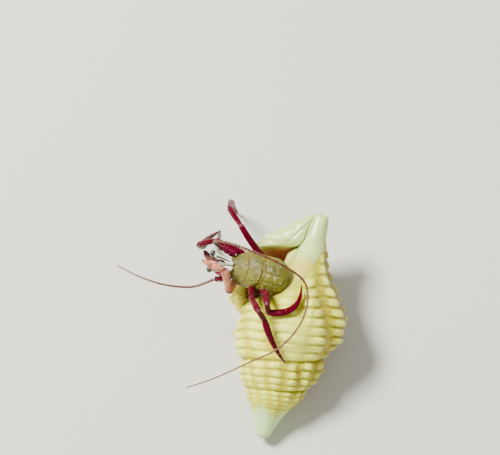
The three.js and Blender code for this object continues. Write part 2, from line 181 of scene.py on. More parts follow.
def node_points(node):
    """The vertices of a CAD node and its edges, with doubles merged."""
    mesh = frame["nodes"][node].data
    points = np.empty(len(mesh.vertices) * 3)
    mesh.vertices.foreach_get("co", points)
    edges = np.empty(len(mesh.edges) * 2, int)
    mesh.edges.foreach_get("vertices", edges)
    return points.reshape(-1, 3), edges.reshape(-1, 2)


shell_points = node_points("shell")[0]
APEX = shell_points[np.argmin(shell_points @ ALONG_AXIS)]


def placed(l, v, s):
    """World points for places in the shell's frame, in millimetres."""
    return (
        APEX
        + MM * np.multiply.outer(l, TO_LIP)
        + MM * np.multiply.outer(v, OUT_OF_MOUTH)
        + MM * np.multiply.outer(s, ALONG_AXIS)
    )


# ---- Numbers ------------------------------------------------------------------------------------
def smooth(low, high, x):
    """A gentle step from 0 at the low value to 1 at the high one."""
    t = np.clip((np.asarray(x, float) - low) / (high - low), 0, 1)
    return t * t * (3 - 2 * t)


def lerp(a, b, t):
    return a + (b - a) * t


def plateau(rise, top, brink, foot, x):
    """1 from the top to the brink, with gentle slopes down to the rise and the foot."""
    return smooth(rise, top, x) * (1 - smooth(brink, foot, x))


def hump(distance, width):
    """1 at no distance, falling away smoothly over the width."""
    return np.exp(-((distance / width) ** 2))


def through(points, x):
    """A smooth curve through (x, y) points, read at x."""
    px, py = np.array(points, float).T
    i = np.clip(np.searchsorted(px, x, side="right") - 1, 0, len(px) - 2)
    before, after = np.maximum(i - 1, 0), np.minimum(i + 2, len(px) - 1)
    span = px[i + 1] - px[i]
    slope_in = (py[i + 1] - py[before]) / (px[i + 1] - px[before])
    slope_out = (py[after] - py[i]) / (px[after] - px[i])
    t = np.clip((x - px[i]) / span, 0, 1)
    return (
        (2 * t**3 - 3 * t**2 + 1) * py[i]
        + (t**3 - 2 * t**2 + t) * span * slope_in
        + (3 * t**2 - 2 * t**3) * py[i + 1]
        + (t**3 - t**2) * span * slope_out
    )


def unit(vectors):
    return vectors / np.maximum(np.linalg.norm(vectors, axis=-1, keepdims=True), 1e-12)


# ---- Mesh helpers -------------------------------------------------------------------------------
def deselect():
    """Leaves nothing selected, so the next operator acts only on its own piece."""
    if bpy.context.object and bpy.context.object.mode != "OBJECT":
        bpy.ops.object.mode_set(mode="OBJECT")
    bpy.ops.object.select_all(action="DESELECT")


def choose(*pieces):
    """Selects only these pieces and makes the first one active."""
    deselect()
    for piece in pieces:
        piece.select_set(True)
    bpy.context.view_layer.objects.active = pieces[0]


def named(piece, name):
    piece.name = piece.data.name = name
    return piece


def vertex_values(piece, field):
    """One vector of a piece's mesh for each vertex."""
    values = np.empty(len(piece.data.vertices) * 3)
    piece.data.vertices.foreach_get(field, values)
    return values.reshape(-1, 3)


def coordinates(piece):
    return vertex_values(piece, "co")


def normals(piece):
    return vertex_values(piece, "normal")


def reshape(piece, points):
    piece.data.vertices.foreach_set("co", np.asarray(points, float).ravel())
    piece.data.update()
    return piece


def lift_off_floor(piece):
    """Keeps a piece on or above the floor."""
    points = coordinates(piece)
    points[:, 2] = np.maximum(points[:, 2], 0)
    return reshape(piece, points)


def mark(piece, name, values):
    """Stores one number, or one vector, for each vertex, for the materials to read."""
    values = np.asarray(values, float)
    kind, field = ("FLOAT_VECTOR", "vector") if values.ndim == 2 else ("FLOAT", "value")
    attribute = piece.data.attributes.get(name) or piece.data.attributes.new(name, kind, "POINT")
    attribute.data.foreach_set(field, values.ravel())
    return piece


def marked(piece, name):
    values = np.empty(len(piece.data.vertices))
    piece.data.attributes[name].data.foreach_get("value", values)
    return values


WELD_GAP = 1e-6


def weld(piece, distance=WELD_GAP):
    """Merges doubles, closes open ends and turns every face outwards."""
    choose(piece)
    bpy.ops.object.mode_set(mode="EDIT")
    bpy.ops.mesh.select_all(action="SELECT")
    bpy.ops.mesh.remove_doubles(threshold=distance)
    bpy.ops.mesh.select_all(action="DESELECT")
    bpy.ops.mesh.select_mode(type="VERT")
    bpy.ops.mesh.select_non_manifold()
    if piece.data.total_edge_sel:
        bpy.ops.mesh.fill_holes(sides=0)
    bpy.ops.mesh.select_all(action="SELECT")
    bpy.ops.mesh.normals_make_consistent(inside=False)
    bpy.ops.object.mode_set(mode="OBJECT")
    return piece


def apply_modifier(piece, kind, **values):
    """Adds a modifier with the given values and applies it."""
    choose(piece)
    bpy.ops.object.modifier_add(type=kind)
    modifier = piece.modifiers[-1]
    for name, value in values.items():
        setattr(modifier, name, value)
    bpy.ops.object.modifier_apply(modifier=modifier.name)
    return piece


def subdivide(piece, levels):
    return apply_modifier(piece, "SUBSURF", levels=levels, render_levels=levels)


def joined(name, pieces):
    """The pieces as one object of the given name."""
    choose(*pieces)
    if len(pieces) > 1:
        bpy.ops.object.join()
    return named(bpy.context.object, name)


def copied(piece, name):
    choose(piece)
    bpy.ops.object.duplicate(linked=False)
    return named(bpy.context.object, name)


def discard(*pieces):
    for piece in pieces:
        bpy.data.objects.remove(piece)


def shade(piece, degrees=60):
    choose(piece)
    bpy.ops.object.shade_smooth_by_angle(angle=math.radians(degrees))
    return piece


def deliver(piece, finish, slot, *nodes):
    """A finished piece: its material, the body it rides on and the CAD nodes that it stands for."""
    piece.data.materials.clear()
    piece.data.materials.append(finish)
    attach(piece, "root")
    if nodes:
        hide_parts(*nodes)
    return piece


def in_order(piece):
    """Numbers vertices and faces by their places, so that every run counts and picks them alike."""
    mesh, points = piece.data, coordinates(piece)
    order = np.lexsort(points.T)
    number = np.argsort(order)
    faces = []
    for face in mesh.polygons:
        corners = [int(number[i]) for i in face.vertices]
        first = corners.index(min(corners))
        faces.append(corners[first:] + corners[:first])
    mesh.clear_geometry()
    mesh.from_pydata(points[order], [], sorted(faces))
    return piece


def grid(name, columns, rows):
    """A flat grid, and the column and row of each of its vertices."""
    deselect()
    bpy.ops.mesh.primitive_grid_add(x_subdivisions=columns, y_subdivisions=rows, size=2)
    piece = named(bpy.context.object, name)
    places = (coordinates(piece) + 1) / 2
    return piece, np.rint(places[:, 0] * columns).astype(int), np.rint(places[:, 1] * rows).astype(int)


def turned(name, rings, sides=12):
    """A closed shape extruded ring by ring up Z. A ring is (height, half width, half depth, aside)."""
    deselect()
    bpy.ops.mesh.primitive_circle_add(vertices=sides, radius=1, fill_type="NGON")
    piece = named(bpy.context.object, name)
    bpy.ops.object.mode_set(mode="EDIT")
    bpy.ops.mesh.select_all(action="SELECT")
    bpy.ops.transform.resize(value=(rings[0][1], rings[0][2], 1), center_override=(0, 0, 0))
    bpy.ops.transform.translate(value=(rings[0][3], 0, rings[0][0]))
    for before, now in zip(rings, rings[1:]):
        step = (now[3] - before[3], 0, now[0] - before[0])
        bpy.ops.mesh.extrude_region_move(TRANSFORM_OT_translate={"value": step})
        bpy.ops.transform.resize(
            value=(now[1] / before[1], now[2] / before[2], 1), center_override=(now[3], 0, now[0])
        )
    bpy.ops.object.mode_set(mode="OBJECT")
    return in_order(weld(piece))


STEADY = (0.31, 0.2, 0.93)  # a direction that no tube or bristle runs along, to turn their rings by


def tube(name, path, radii, sides=8):
    """A closed tube along a line of world points, with one radius for each of them."""
    piece, column, row = grid(name, sides, len(path) - 1)
    tangent = unit(np.gradient(path, axis=0))
    side = unit(np.cross(tangent, STEADY))
    top = np.cross(side, tangent)
    angle = 2 * math.pi * column / sides
    ring = side[row] * np.cos(angle)[:, None] + top[row] * np.sin(angle)[:, None]
    reshape(piece, path[row] + ring * np.asarray(radii)[row][:, None])
    mark(piece, "along", row / (len(path) - 1))
    return weld(piece)


def curve_through(points, steps):
    """Evenly spaced places on a smooth curve through a few points."""
    points = np.asarray(points, float)
    chord = np.concatenate([[0], np.cumsum(np.linalg.norm(np.diff(points, axis=0), axis=1))])
    fine = np.linspace(0, chord[-1], steps * 4)
    dense = np.stack([through(np.stack([chord, points[:, i]], 1), fine) for i in range(3)], 1)
    length = np.concatenate([[0], np.cumsum(np.linalg.norm(np.diff(dense, axis=0), axis=1))])
    even = np.linspace(0, length[-1], steps)
    return np.stack([np.interp(even, length, dense[:, i]) for i in range(3)], 1)


# ---- Materials ----------------------------------------------------------------------------------
class Finish:
    """A node material under construction.

    Values may be numbers, colours, hex colours or other nodes' outputs. Scales count the features in
    about a metre.
    """

    def __init__(self, name):
        self.material = bpy.data.materials.new(name)
        self.material.use_nodes = True
        self.tree = self.material.node_tree
        self.shader = self.tree.nodes["Principled BSDF"]
        self.place = self.node("ShaderNodeTexCoord").outputs["Object"]

    def put(self, socket, value):
        if isinstance(value, str):
            value = linear(value)
        if isinstance(value, bpy.types.NodeSocket):
            self.tree.links.new(value, socket)
        elif socket.type == "RGBA" and len(value) == 3:
            socket.default_value = (*value, 1)
        else:
            socket.default_value = value

    def node(self, kind, settings=None, **inputs):
        made = self.tree.nodes.new(kind)
        for name, value in (settings or {}).items():
            setattr(made, name, value)
        for name, value in inputs.items():
            self.put(made.inputs[name.replace("_", " ")], value)
        return made

    def marked(self, name):
        return self.node("ShaderNodeAttribute", {"attribute_name": name}).outputs["Fac"]

    def marked_place(self, name):
        return self.node("ShaderNodeAttribute", {"attribute_name": name}).outputs["Vector"]

    def noise(self, scale, detail=3.0, roughness=0.55, vector=None):
        place = vector or self.place
        made = self.node("ShaderNodeTexNoise", Scale=scale, Detail=detail, Roughness=roughness, Vector=place)
        return made.outputs["Fac"]

    def cells(self, scale):
        made = self.node("ShaderNodeTexVoronoi", Scale=scale, Vector=self.place)
        return made.outputs["Distance"]

    def fit(self, value, low, high, to_low=0.0, to_high=1.0):
        """Rescales a value smoothly from one range to another."""
        made = self.node(
            "ShaderNodeMapRange", {"interpolation_type": "SMOOTHSTEP"},
            Value=value, From_Min=low, From_Max=high, To_Min=to_low, To_Max=to_high,
        )
        return made.outputs["Result"]

    def math(self, operation, a, b=0.0):
        made = self.node("ShaderNodeMath", {"operation": operation})
        self.put(made.inputs[0], a)
        self.put(made.inputs[1], b)
        return made.outputs[0]

    def times(self, a, b):
        return self.math("MULTIPLY", a, b)

    def plus(self, a, b):
        return self.math("ADD", a, b)

    def swing(self, value, size):
        """How far a noise swings from its middle, scaled."""
        return self.times(self.plus(value, -0.5), size)

    def mix(self, share, a, b):
        made = self.node("ShaderNodeMix", {"data_type": "RGBA"})
        self.put(made.inputs["Factor"], share)
        first, second = [socket for socket in made.inputs if socket.type == "RGBA"]
        self.put(first, a)
        self.put(second, b)
        return next(socket for socket in made.outputs if socket.type == "RGBA")

    def bump(self, height, depth, strength=1.0, below=None):
        """Fine relief of a depth in millimetres, over the relief below it."""
        made = self.node("ShaderNodeBump", Height=height, Distance=depth * MM, Strength=strength)
        if below:
            self.put(made.inputs["Normal"], below)
        return made.outputs["Normal"]

    def done(self, colour, roughness, normal, **constants):
        self.put(self.shader.inputs["Base Color"], colour)
        self.put(self.shader.inputs["Roughness"], roughness)
        self.put(self.shader.inputs["Normal"], normal)
        for name, value in constants.items():
            self.put(self.shader.inputs[name.replace("_", " ")], value)
        return self.material


def ribbed_colour(make, look, patch, speck):
    """Pale nodules over darker grooves, with stains, a film, pinholes, growth lines and a worn apex. The
    paler tops carry a painted highlight, the grooves carry painted shade, and the right and lower side
    carries painted shade.
    """
    # Paler nodule tops and the rubbed patch: partly their own tone and real wear, partly a painted highlight.
    crest = make.plus(make.marked("crest"), make.swing(patch, 0.35))
    colour = make.mix(make.fit(crest, 0.1, 0.6), look.body, look.crest)
    # Darker grooves: real ochre dirt, with painted shade where the recesses fall dark.
    groove_dirt_and_shade = make.times(make.marked("groove"), make.fit(speck, 0.3, 0.62, 0.45, 1.0))
    colour = make.mix(make.fit(groove_dirt_and_shade, 0.08, 0.95, 0.0, 0.8), colour, look.groove)
    stain = make.fit(make.noise(150, 3), 0.52, 0.72, 0.0, 0.22)
    colour = make.mix(stain, colour, look.groove)
    film = make.times(make.fit(make.noise(420, 5, 0.65), 0.5, 0.72), make.fit(groove_dirt_and_shade, 0.0, 0.6, 0.12, 0.5))
    colour = make.mix(film, colour, "#8a8a2c")
    pinholes = make.fit(make.cells(1500), 0.03, 0.1, 1.0, 0.0)
    colour = make.mix(make.times(pinholes, make.fit(patch, 0.45, 0.65, 0.0, 0.5)), colour, "#7c6a24")
    colour = make.mix(make.times(make.marked("suture"), 0.35), colour, "#6e5c22")
    # Painted shade: the right and lower side of the shell, turned from the key light, is darkened to ochre.
    painted_far_shade = make.times(make.marked("under"), make.fit(patch, 0.25, 0.7, 0.6, 0.95))
    colour = make.mix(painted_far_shade, colour, "#96821a")
    growth = make.noise(34, 4, 0.6, make.marked_place("growth"))
    colour = make.mix(make.fit(growth, 0.52, 0.7, 0.0, 0.16), colour, "#b39c4c")
    worn = make.fit(make.plus(make.marked("worn"), make.swing(speck, 0.3)), 0.2, 0.8)
    return make.mix(worn, colour, look.apex), growth


def glazed_colour(make, look, patch, polish, colour):
    """The polished callus and canal over the ribbed colour, with a warm lip and a brownish border."""
    glaze = make.mix(make.fit(patch, 0.35, 0.7, 0.0, 0.3), look.callus, "#c9c886")
    warm = make.times(make.marked("warm"), make.fit(patch, 0.25, 0.7, 0.65, 1.0))
    colour = make.mix(polish, colour, make.mix(warm, glaze, "#d4c04a"))
    border = make.times(make.times(polish, make.math("SUBTRACT", 1.0, polish)), 3.6)
    return make.mix(make.times(border, make.fit(patch, 0.3, 0.7, 0.25, 0.7)), colour, "#b5a04a")


def shell_finish(look):
    """Cream nodules over ochre grooves, polished at the canal and worn smooth at the apex."""
    make = Finish("ribbed shell")
    patch, speck, grain = make.noise(260, 4), make.noise(1900, 3), make.noise(9000, 2)
    polish, inside = make.marked("callus"), make.marked("inside")
    colour, growth = ribbed_colour(make, look, patch, speck)
    colour = glazed_colour(make, look, patch, polish, colour)
    colour = make.mix(inside, colour, make.mix(make.fit(patch, 0.3, 0.7), look.throat, "#c8b27c"))
    smoothness = make.math("MAXIMUM", polish, inside)
    rough = make.fit(make.plus(speck, make.times(make.marked("groove"), 0.3)), 0.2, 0.9, 0.3, 0.7)
    rough = make.plus(rough, make.times(smoothness, -0.3))
    lines = make.bump(growth, 0.06, make.fit(smoothness, 0, 1, 0.7, 0.25))
    pits = make.bump(make.plus(speck, make.times(grain, 0.4)), 0.03, 0.55, lines)
    return make.done(
        colour, rough, pits, Subsurface_Weight=0.08, Subsurface_Radius=(0.5, 0.42, 0.25),
        Subsurface_Scale=0.7 * MM, Coat_Weight=0.25, Coat_Roughness=0.12, Specular_IOR_Level=0.3,
    )


def skin_finish(name, base, dark):
    """Soft mottled skin that lets some light through, tinted like the limbs round their roots."""
    make = Finish(name)
    cloud, speck, fine = make.noise(420, 4), make.noise(2600, 3), make.noise(9000, 2)
    colour = make.mix(make.fit(cloud, 0.35, 0.68), base, dark)
    spots = make.fit(make.cells(2300), 0.05, 0.22, 0.55, 0.0)
    colour = make.mix(spots, colour, "#5d5a20")
    colour = make.mix(make.fit(speck, 0.55, 0.75, 0.0, 0.4), colour, "#cfc98a")
    colour = make.mix(make.times(make.marked("root"), 0.85), colour, "#6a2228")
    folds = make.bump(make.plus(cloud, make.times(speck, 0.5)), 0.12, 0.6)
    return make.done(
        colour, make.fit(speck, 0.3, 0.7, 0.5, 0.68), make.bump(fine, 0.02, 0.5, folds),
        Subsurface_Weight=0.35, Subsurface_Radius=(1.0, 0.75, 0.3), Subsurface_Scale=1.1 * MM,
        Coat_Weight=0.14, Coat_Roughness=0.2, Specular_IOR_Level=0.4,
    )


def shield_finish(look):
    """Horny shield, dark in its grooves and paler at its rim."""
    make = Finish("horny shield")
    cloud, speck = make.noise(700, 4), make.noise(3800, 3)
    colour = make.mix(make.fit(cloud, 0.4, 0.66), look.shield, look.shield_dark)
    colour = make.mix(make.times(make.marked("groove"), 0.6), colour, "#5e5220")
    colour = make.mix(make.fit(speck, 0.58, 0.74, 0.0, 0.45), colour, "#c3bd82")
    colour = make.mix(make.times(make.marked("rim"), 0.45), colour, "#a88a4a")
    pores = make.bump(make.cells(5200), 0.03, 0.5)
    return make.done(
        colour, make.fit(speck, 0.3, 0.7, 0.56, 0.72), make.bump(cloud, 0.08, 0.5, pores),
        Subsurface_Weight=0.12, Subsurface_Radius=(0.8, 0.6, 0.3), Subsurface_Scale=0.6 * MM,
        Coat_Weight=0.08, Coat_Roughness=0.2,
    )


def armour_finish(look, name, base, bloom):
    """Jointed armour: a bloom on a deeper base, lighter bands at the joints and horny tips."""
    make = Finish(name)
    cloud, speck, fine = make.noise(900, 4), make.noise(3600, 3), make.noise(11000, 2)
    colour = make.mix(make.fit(cloud, 0.4, 0.72, 0.0, 0.7), base, bloom)
    colour = make.mix(make.fit(speck, 0.6, 0.74, 0.0, 0.2), colour, "#8a2c5c")
    colour = make.mix(make.fit(make.cells(3000), 0.04, 0.16, 0.5, 0.0), colour, "#320713")
    colour = make.mix(make.times(make.marked("band"), 0.6), colour, look.joint_band)
    colour = make.mix(make.marked("horn"), colour, look.horn)
    dents = make.bump(make.plus(cloud, make.times(speck, 0.35)), 0.07, 0.6)
    rough = make.plus(make.fit(speck, 0.3, 0.7, 0.26, 0.5), make.times(make.marked("horn"), -0.08))
    return make.done(
        colour, rough, make.bump(fine, 0.015, 0.5, dents), Subsurface_Weight=0.06,
        Subsurface_Radius=(1.0, 0.25, 0.3), Subsurface_Scale=0.5 * MM, Coat_Weight=0.13, Coat_Roughness=0.16,
        Specular_IOR_Level=0.02,
    )


def eyestalk_finish(look):
    """Pale eyestalk with dark stripes along it."""
    make = Finish("striped eyestalk")
    speck = make.noise(4200, 3)
    stripe = make.fit(make.plus(make.marked("stripe"), make.swing(speck, 0.5)), 0.45, 0.62)
    colour = make.mix(make.fit(speck, 0.45, 0.7, 0.0, 0.5), look.eyestalk, "#b9a5a0")
    colour = make.mix(make.times(stripe, 0.95), colour, look.stripe)
    return make.done(
        colour, make.fit(speck, 0.3, 0.7, 0.2, 0.38), make.bump(speck, 0.03, 0.5), Subsurface_Weight=0.3,
        Subsurface_Radius=(0.8, 0.6, 0.5), Subsurface_Scale=0.5 * MM, Coat_Weight=0.5, Coat_Roughness=0.1,
    )


def eye_finish(look):
    """Glassy cornea of many small facets, greener where it turns away."""
    make = Finish("faceted cornea")
    facets, depth = make.cells(16000), make.noise(1500, 2)
    sheen = make.node("ShaderNodeLayerWeight", Blend=0.35).outputs["Facing"]
    colour = make.mix(make.fit(sheen, 0.25, 0.9), look.eye, "#4c7a3a")
    colour = make.mix(make.fit(depth, 0.55, 0.75, 0.0, 0.6), colour, "#8a7a2c")
    colour = make.mix(make.fit(facets, 0.2, 0.6, 0.0, 0.25), colour, "#04090a")
    return make.done(
        colour, make.fit(depth, 0.3, 0.7, 0.06, 0.14), make.bump(facets, 0.01, 0.35), Coat_Weight=1.0,
        Coat_Roughness=0.03, Specular_IOR_Level=0.7,
    )


def feeler_finish(look):
    """Brown feeler with paler rings, which fades to its tip."""
    make = Finish("ringed feeler")
    speck = make.noise(5200, 3)
    along = make.marked("along")
    colour = make.mix(make.fit(speck, 0.4, 0.7), look.feeler, "#7d3a20")
    colour = make.mix(make.times(make.marked("band"), 0.8), colour, look.feeler_band)
    colour = make.mix(make.fit(along, 0.55, 1.0, 0.0, 0.5), colour, "#8f6a45")
    return make.done(
        colour, make.fit(speck, 0.3, 0.7, 0.3, 0.5), make.bump(speck, 0.02, 0.5), Coat_Weight=0.3,
        Coat_Roughness=0.2, Subsurface_Weight=0.1, Subsurface_Scale=0.3 * MM,
    )


def bristle_finish(look):
    """Stiff golden hair, paler at its tip."""
    make = Finish("golden bristle")
    speck = make.noise(3000, 2)
    colour = make.mix(make.marked("along"), look.bristle, "#e8d9a8")
    colour = make.mix(make.fit(speck, 0.5, 0.7, 0.0, 0.5), colour, "#7c5a30")
    return make.done(colour, make.fit(speck, 0.3, 0.7, 0.35, 0.55), make.bump(speck, 0.01, 0.3))


def floor_finish(look):
    """Plain matte floor."""
    make = Finish("matte floor")
    cloud, grain = make.noise(9, 3), make.noise(900, 3)
    colour = make.mix(make.fit(cloud, 0.3, 0.7, 0.0, 0.35), look.floor, "#cdcbc0")
    return make.done(colour, make.fit(grain, 0.3, 0.7, 0.75, 0.9), make.bump(grain, 0.02, 0.2))


# ---- The shell ----------------------------------------------------------------------------------
# Lengths are in millimetres, s runs from the apex, and azimuth runs in degrees round the shell to the lip.
LENGTH = 28.5  # apex to canal tip
GIRTH, GIRTH_AT = 7.1, 15.75  # radius of the last whorl half a turn behind the lip, and where
SPIRE_POWER = 0.7
GROWTH = 1.6  # how much further out each suture lies after one turn
LIP_SUTURE = 14.5
SWELL = 1.18  # how much the last whorl widens on its first half turn
WAIST, WAIST_DEPTH = (9.9, 14), 0.1  # where the whorls draw in, and by how much of the radius
CANAL_BEND, CANAL_STRETCH = 1.25, 0.5
RIB_SLANT = 12  # degrees that a rib leans from suture to suture
BODY_RIB_RATE = 0.69  # ribs of the last whorl against those of the spire
RIB_OFFSET, BODY_RIB_OFFSET = -7.5, -11  # degrees
RIB_WANDER = 1.3  # degrees
SPIRE_CORDS = 4  # cords from suture to suture on the spire
CORD_SPACING = 1.16  # between the cords of the last whorl
SUTURE_DEPTH, SUTURE_WIDTH = 0.032, 0.045  # shares of the radius and of a whorl's height
RUBBED_AT, RUBBED_WIDTH = 103, 25  # degrees: a patch of the last whorl that is rubbed smooth
CALLUS_START = (15.2, 16.4)  # where the callus beside the mouth begins
BACK = [
    (0, 5.5), (0.09, 6.15), (0.15, 6.85), (0.25, 7.1), (0.33, 6.8), (0.41, 6.1), (0.53, 4.6),
    (0.6, 3.7), (0.67, 2.9), (0.74, 2.3), (0.82, 1.6), (0.9, 1.25), (1, 0.95),
]
LIP = [
    (0, 5.75), (0.06, 6.85), (0.14, 7.7), (0.22, 7.9), (0.34, 7.8), (0.45, 7.4), (0.54, 6.85),
    (0.64, 6.05), (0.72, 5.45), (0.8, 4.25), (0.88, 3.05), (0.94, 2.05), (1, 1.1),
]
APEX_OUTLINE = [
    (0, 0), (0.12, 0.45), (0.5, 0.88), (1.2, 1.15), (2.1, 1.5), (3.5, 2.15), (4.6, 2.85), (6, 3.61),
]
CALLUS_EDGE = [
    (15.6, 0), (16.4, 38), (18.75, 74), (20.75, 98), (22.75, 125), (25, 158), (28.5, 170),
]
MOUTH_START, MOUTH_END = 16.4, 24.2
MOUTH_OUTER = [
    (16.4, 5.3), (16.8, 5.8), (17.5, 6), (18.5, 6.2), (19.5, 6.5), (20.8, 6.4), (22, 5.9), (23, 5),
    (23.7, 4), (24.2, 3),
]
MOUTH_INNER = [
    (16.4, 5.1), (16.8, 4.6), (17.5, 4.4), (18.4, 4.1), (19.5, 3.2), (20.5, 2.6), (21.6, 2.3), (23, 2.2),
    (24.2, 2.6),
]
LIP_MARGIN = 0.45  # from the mouth's edge to the outside of the lip, at least
MOUTH_ROUNDNESS = 2.6
MOUTH_MIDDLE = (4.5, 20)
MOUTH_DEPTH = 105  # degrees of the last whorl that stay hollow behind the lip
SLIT_START, SLIT_WIDTH, SLIT_DEPTH = 2.7, 0.14, 0.14  # the nearly closed canal beyond the mouth
CANAL_COVER = 0.8  # how high the shell closes over the canal
FRILL, FRILL_RATE = 0.13, 1.9  # height of the teeth along the lip, and how many to a millimetre
TIP_ROUNDING = 0.5

# The loop round the shell at one place along the axis, as columns of the grid.
OUTSIDE, RIM, ROOF, HOLLOW_END, PILLAR = range(5)
LOOP = {OUTSIDE: 236, RIM: 30, ROOF: 16, HOLLOW_END: 5, PILLAR: 17}
SHELL_ROWS = 296
ROW_SPREAD = 1.12  # above 1, the rows lie closer together near the apex


def canal_shift(s):
    """How far the canal bends away from the lip."""
    return -CANAL_BEND * smooth(20.5, LENGTH, s)


def stretched(s):
    """The end with the canal is drawn out a little."""
    return s + CANAL_STRETCH * smooth(19.5, 24, s)


def whorl_suture(azimuth):
    """Where the last whorl's suture lies along the axis."""
    return LIP_SUTURE * GROWTH ** (azimuth / 360 - 1)


def whorl_phase(azimuth, s):
    """Turns since the last whorl's suture; negative on the spire, where whole numbers are sutures."""
    return np.log(np.maximum(s, 0.01) / LIP_SUTURE) / math.log(GROWTH) + 1 - azimuth / 360


def whorl_radius(s, across):
    """The spire's radius, which bulges from suture to suture."""
    bulge = 0.95 + 0.115 * np.sin(math.pi * np.clip(across, 0, 1) ** 0.75) ** 0.7
    bulge = lerp(1.0, bulge, smooth(2.5, 7, s))
    bulge = bulge * (1 - WAIST_DEPTH * smooth(*WAIST, s))
    tip_end = APEX_OUTLINE[-1][0]
    return bulge * np.where(s < tip_end, through(APEX_OUTLINE, s), GIRTH * (s / GIRTH_AT) ** SPIRE_POWER)


def plain_radius(azimuth, s):
    """The radius without its relief: the spire, and the last whorl from its back round to the lip."""
    phase = whorl_phase(azimuth, s)
    spire = whorl_radius(s, phase - np.floor(phase))
    suture = whorl_suture(azimuth)
    share = (s - suture) / (LENGTH - suture)
    back = through(BACK, share) * np.where(azimuth < 180, SWELL ** (azimuth / 180 - 1), 1)
    to_lip = np.maximum(azimuth / 180 - 1, 0) ** 1.3
    radius = lerp(back, through(LIP, share), to_lip)
    columella = (1 - smooth(25, 100, azimuth)) * plateau(15.8, 18.5, 24.5, 27, s)
    under_lip = (1 - smooth(0, 90, azimuth)) * (1 - smooth(LIP_SUTURE, MOUTH_START, s))
    last = lerp(radius * (1 - 0.38 * columella), whorl_radius(s, np.minimum(phase, 1)), under_lip)
    return np.where(phase < 0, spire, last)


def rib_wave(azimuth, phase, ribs):
    """1 on the crest of a rib and 0 in the valley. The last whorl has fewer, broader ribs."""
    on_body = smooth(-0.01, 0.01, phase)
    turned_by = azimuth * lerp(1, BODY_RIB_RATE, on_body) + RIB_OFFSET
    turned_by = turned_by + BODY_RIB_OFFSET * on_body * smooth(0, 40, azimuth)
    wander = RIB_WANDER * np.sin(phase * 5.1 + azimuth * 0.071) * plateau(0, 30, 330, 360, azimuth)
    around = ribs * 360 / (360 - RIB_SLANT) * (turned_by + RIB_SLANT * phase + wander)
    return 0.5 + 0.5 * np.cos(np.radians(around))


def sculpture(azimuth, s, look):
    """The relief as a share of the radius, and what the material reads: nodule tops with their painted
    highlight, grooves with their painted shade, suture and so on.
    """
    phase = whorl_phase(azimuth, s)
    across = np.where(phase < 0, phase - np.floor(phase), phase)

    # Ribs along the axis and cords round it.
    far_side = smooth(60, 135, azimuth)
    rib = rib_wave(azimuth, phase, look.ribs) ** lerp(0.75, 1.1, far_side)
    below_suture = (s - whorl_suture(azimuth)) / CORD_SPACING
    cords = np.where(phase < 0, phase * SPIRE_CORDS, below_suture) + 0.06 * np.sin(azimuth * 0.13)
    cord = 1 - (0.5 + 0.5 * np.cos(2 * math.pi * cords)) ** 3.2

    # Where the relief is worn, rubbed or covered.
    edge = np.where(s < CALLUS_EDGE[0][0], -20, through(CALLUS_EDGE, s))
    by_mouth = (1 - smooth(edge - 6, edge + 10, azimuth)) * smooth(*CALLUS_START, s)
    callus = np.maximum(by_mouth, smooth(318, 338, azimuth) * smooth(21, 23.5, s))
    beside = (1 - smooth(edge + 5, edge + 42, azimuth)) * smooth(*CALLUS_START, s)
    worn = 1 - smooth(0.25 * look.worn / MM, look.worn / MM, s + 0.5 * np.sin(azimuth * 0.07))
    rubbed = hump(azimuth - RUBBED_AT, RUBBED_WIDTH) * plateau(9.6, 11, 15, 18, s)
    rough = (1 - worn) * (1 - by_mouth) * (1 - 0.55 * beside) * (1 - 0.65 * rubbed)
    rough = rough * lerp(0.5, 1, smooth(4.5, 9, s))

    # Nodules where they cross, and the suture above them.
    fade = np.sin(math.pi * np.clip(across, 0, 0.5)) ** 0.5 * (1 - smooth(25, 28, s))
    lean = azimuth + RIB_SLANT * phase
    uneven = 1 + 0.2 * np.sin(lean * 0.21 + 2.3 * np.floor(cords)) + 0.1 * np.sin(lean * 0.043 + 1)
    nodule = rib * (0.35 + 0.65 * cord) * fade * uneven
    suture = hump(np.minimum(across, np.where(phase < 0, 1 - across, 9)), SUTURE_WIDTH)
    ribbed = 0.8 + 0.75 * far_side
    height = look.rib_height * (nodule - 0.3 * fade) * ribbed - SUTURE_DEPTH * suture
    height = height + look.groove_depth * (cord - 1) * (0.5 + 0.5 * rib)
    relief = height * rough

    rough = np.minimum(rough, 1 - callus)
    # Groove darkening: partly real dirt, partly painted shade in the grooves and rib valleys, stronger on the
    # far side.
    valley = (1 - cord) * 0.75 + (0.25 + 0.85 * far_side) * (1 - rib) * fade
    return relief, {
        # Paler nodule tops: their own tone and real wear, with a painted highlight.
        "crest": np.minimum(rough * nodule + 0.5 * rubbed * (1 - callus), 1),
        # Grooves: real dirt, with painted shade in them.
        "groove": rough * np.clip(valley, 0, 1),
        "suture": suture * (1 - worn) * (1 - callus),
        "callus": callus,
        "worn": worn,
        # Painted shade on the right and lower side of the shell, turned from the key light.
        "under": rough * plateau(140, 176, 300, 330, azimuth),
    }


def shell_radius(azimuth, s, look):
    """The radius with its relief, rounded off at the canal's tip."""
    past_rounding = ((s - LENGTH + TIP_ROUNDING) / TIP_ROUNDING).clip(0, 1)
    round_tip = np.sqrt(np.clip(1 - past_rounding**2, 0, 1))
    return plain_radius(azimuth, s) * (1 + sculpture(azimuth, s, look)[0]) * round_tip


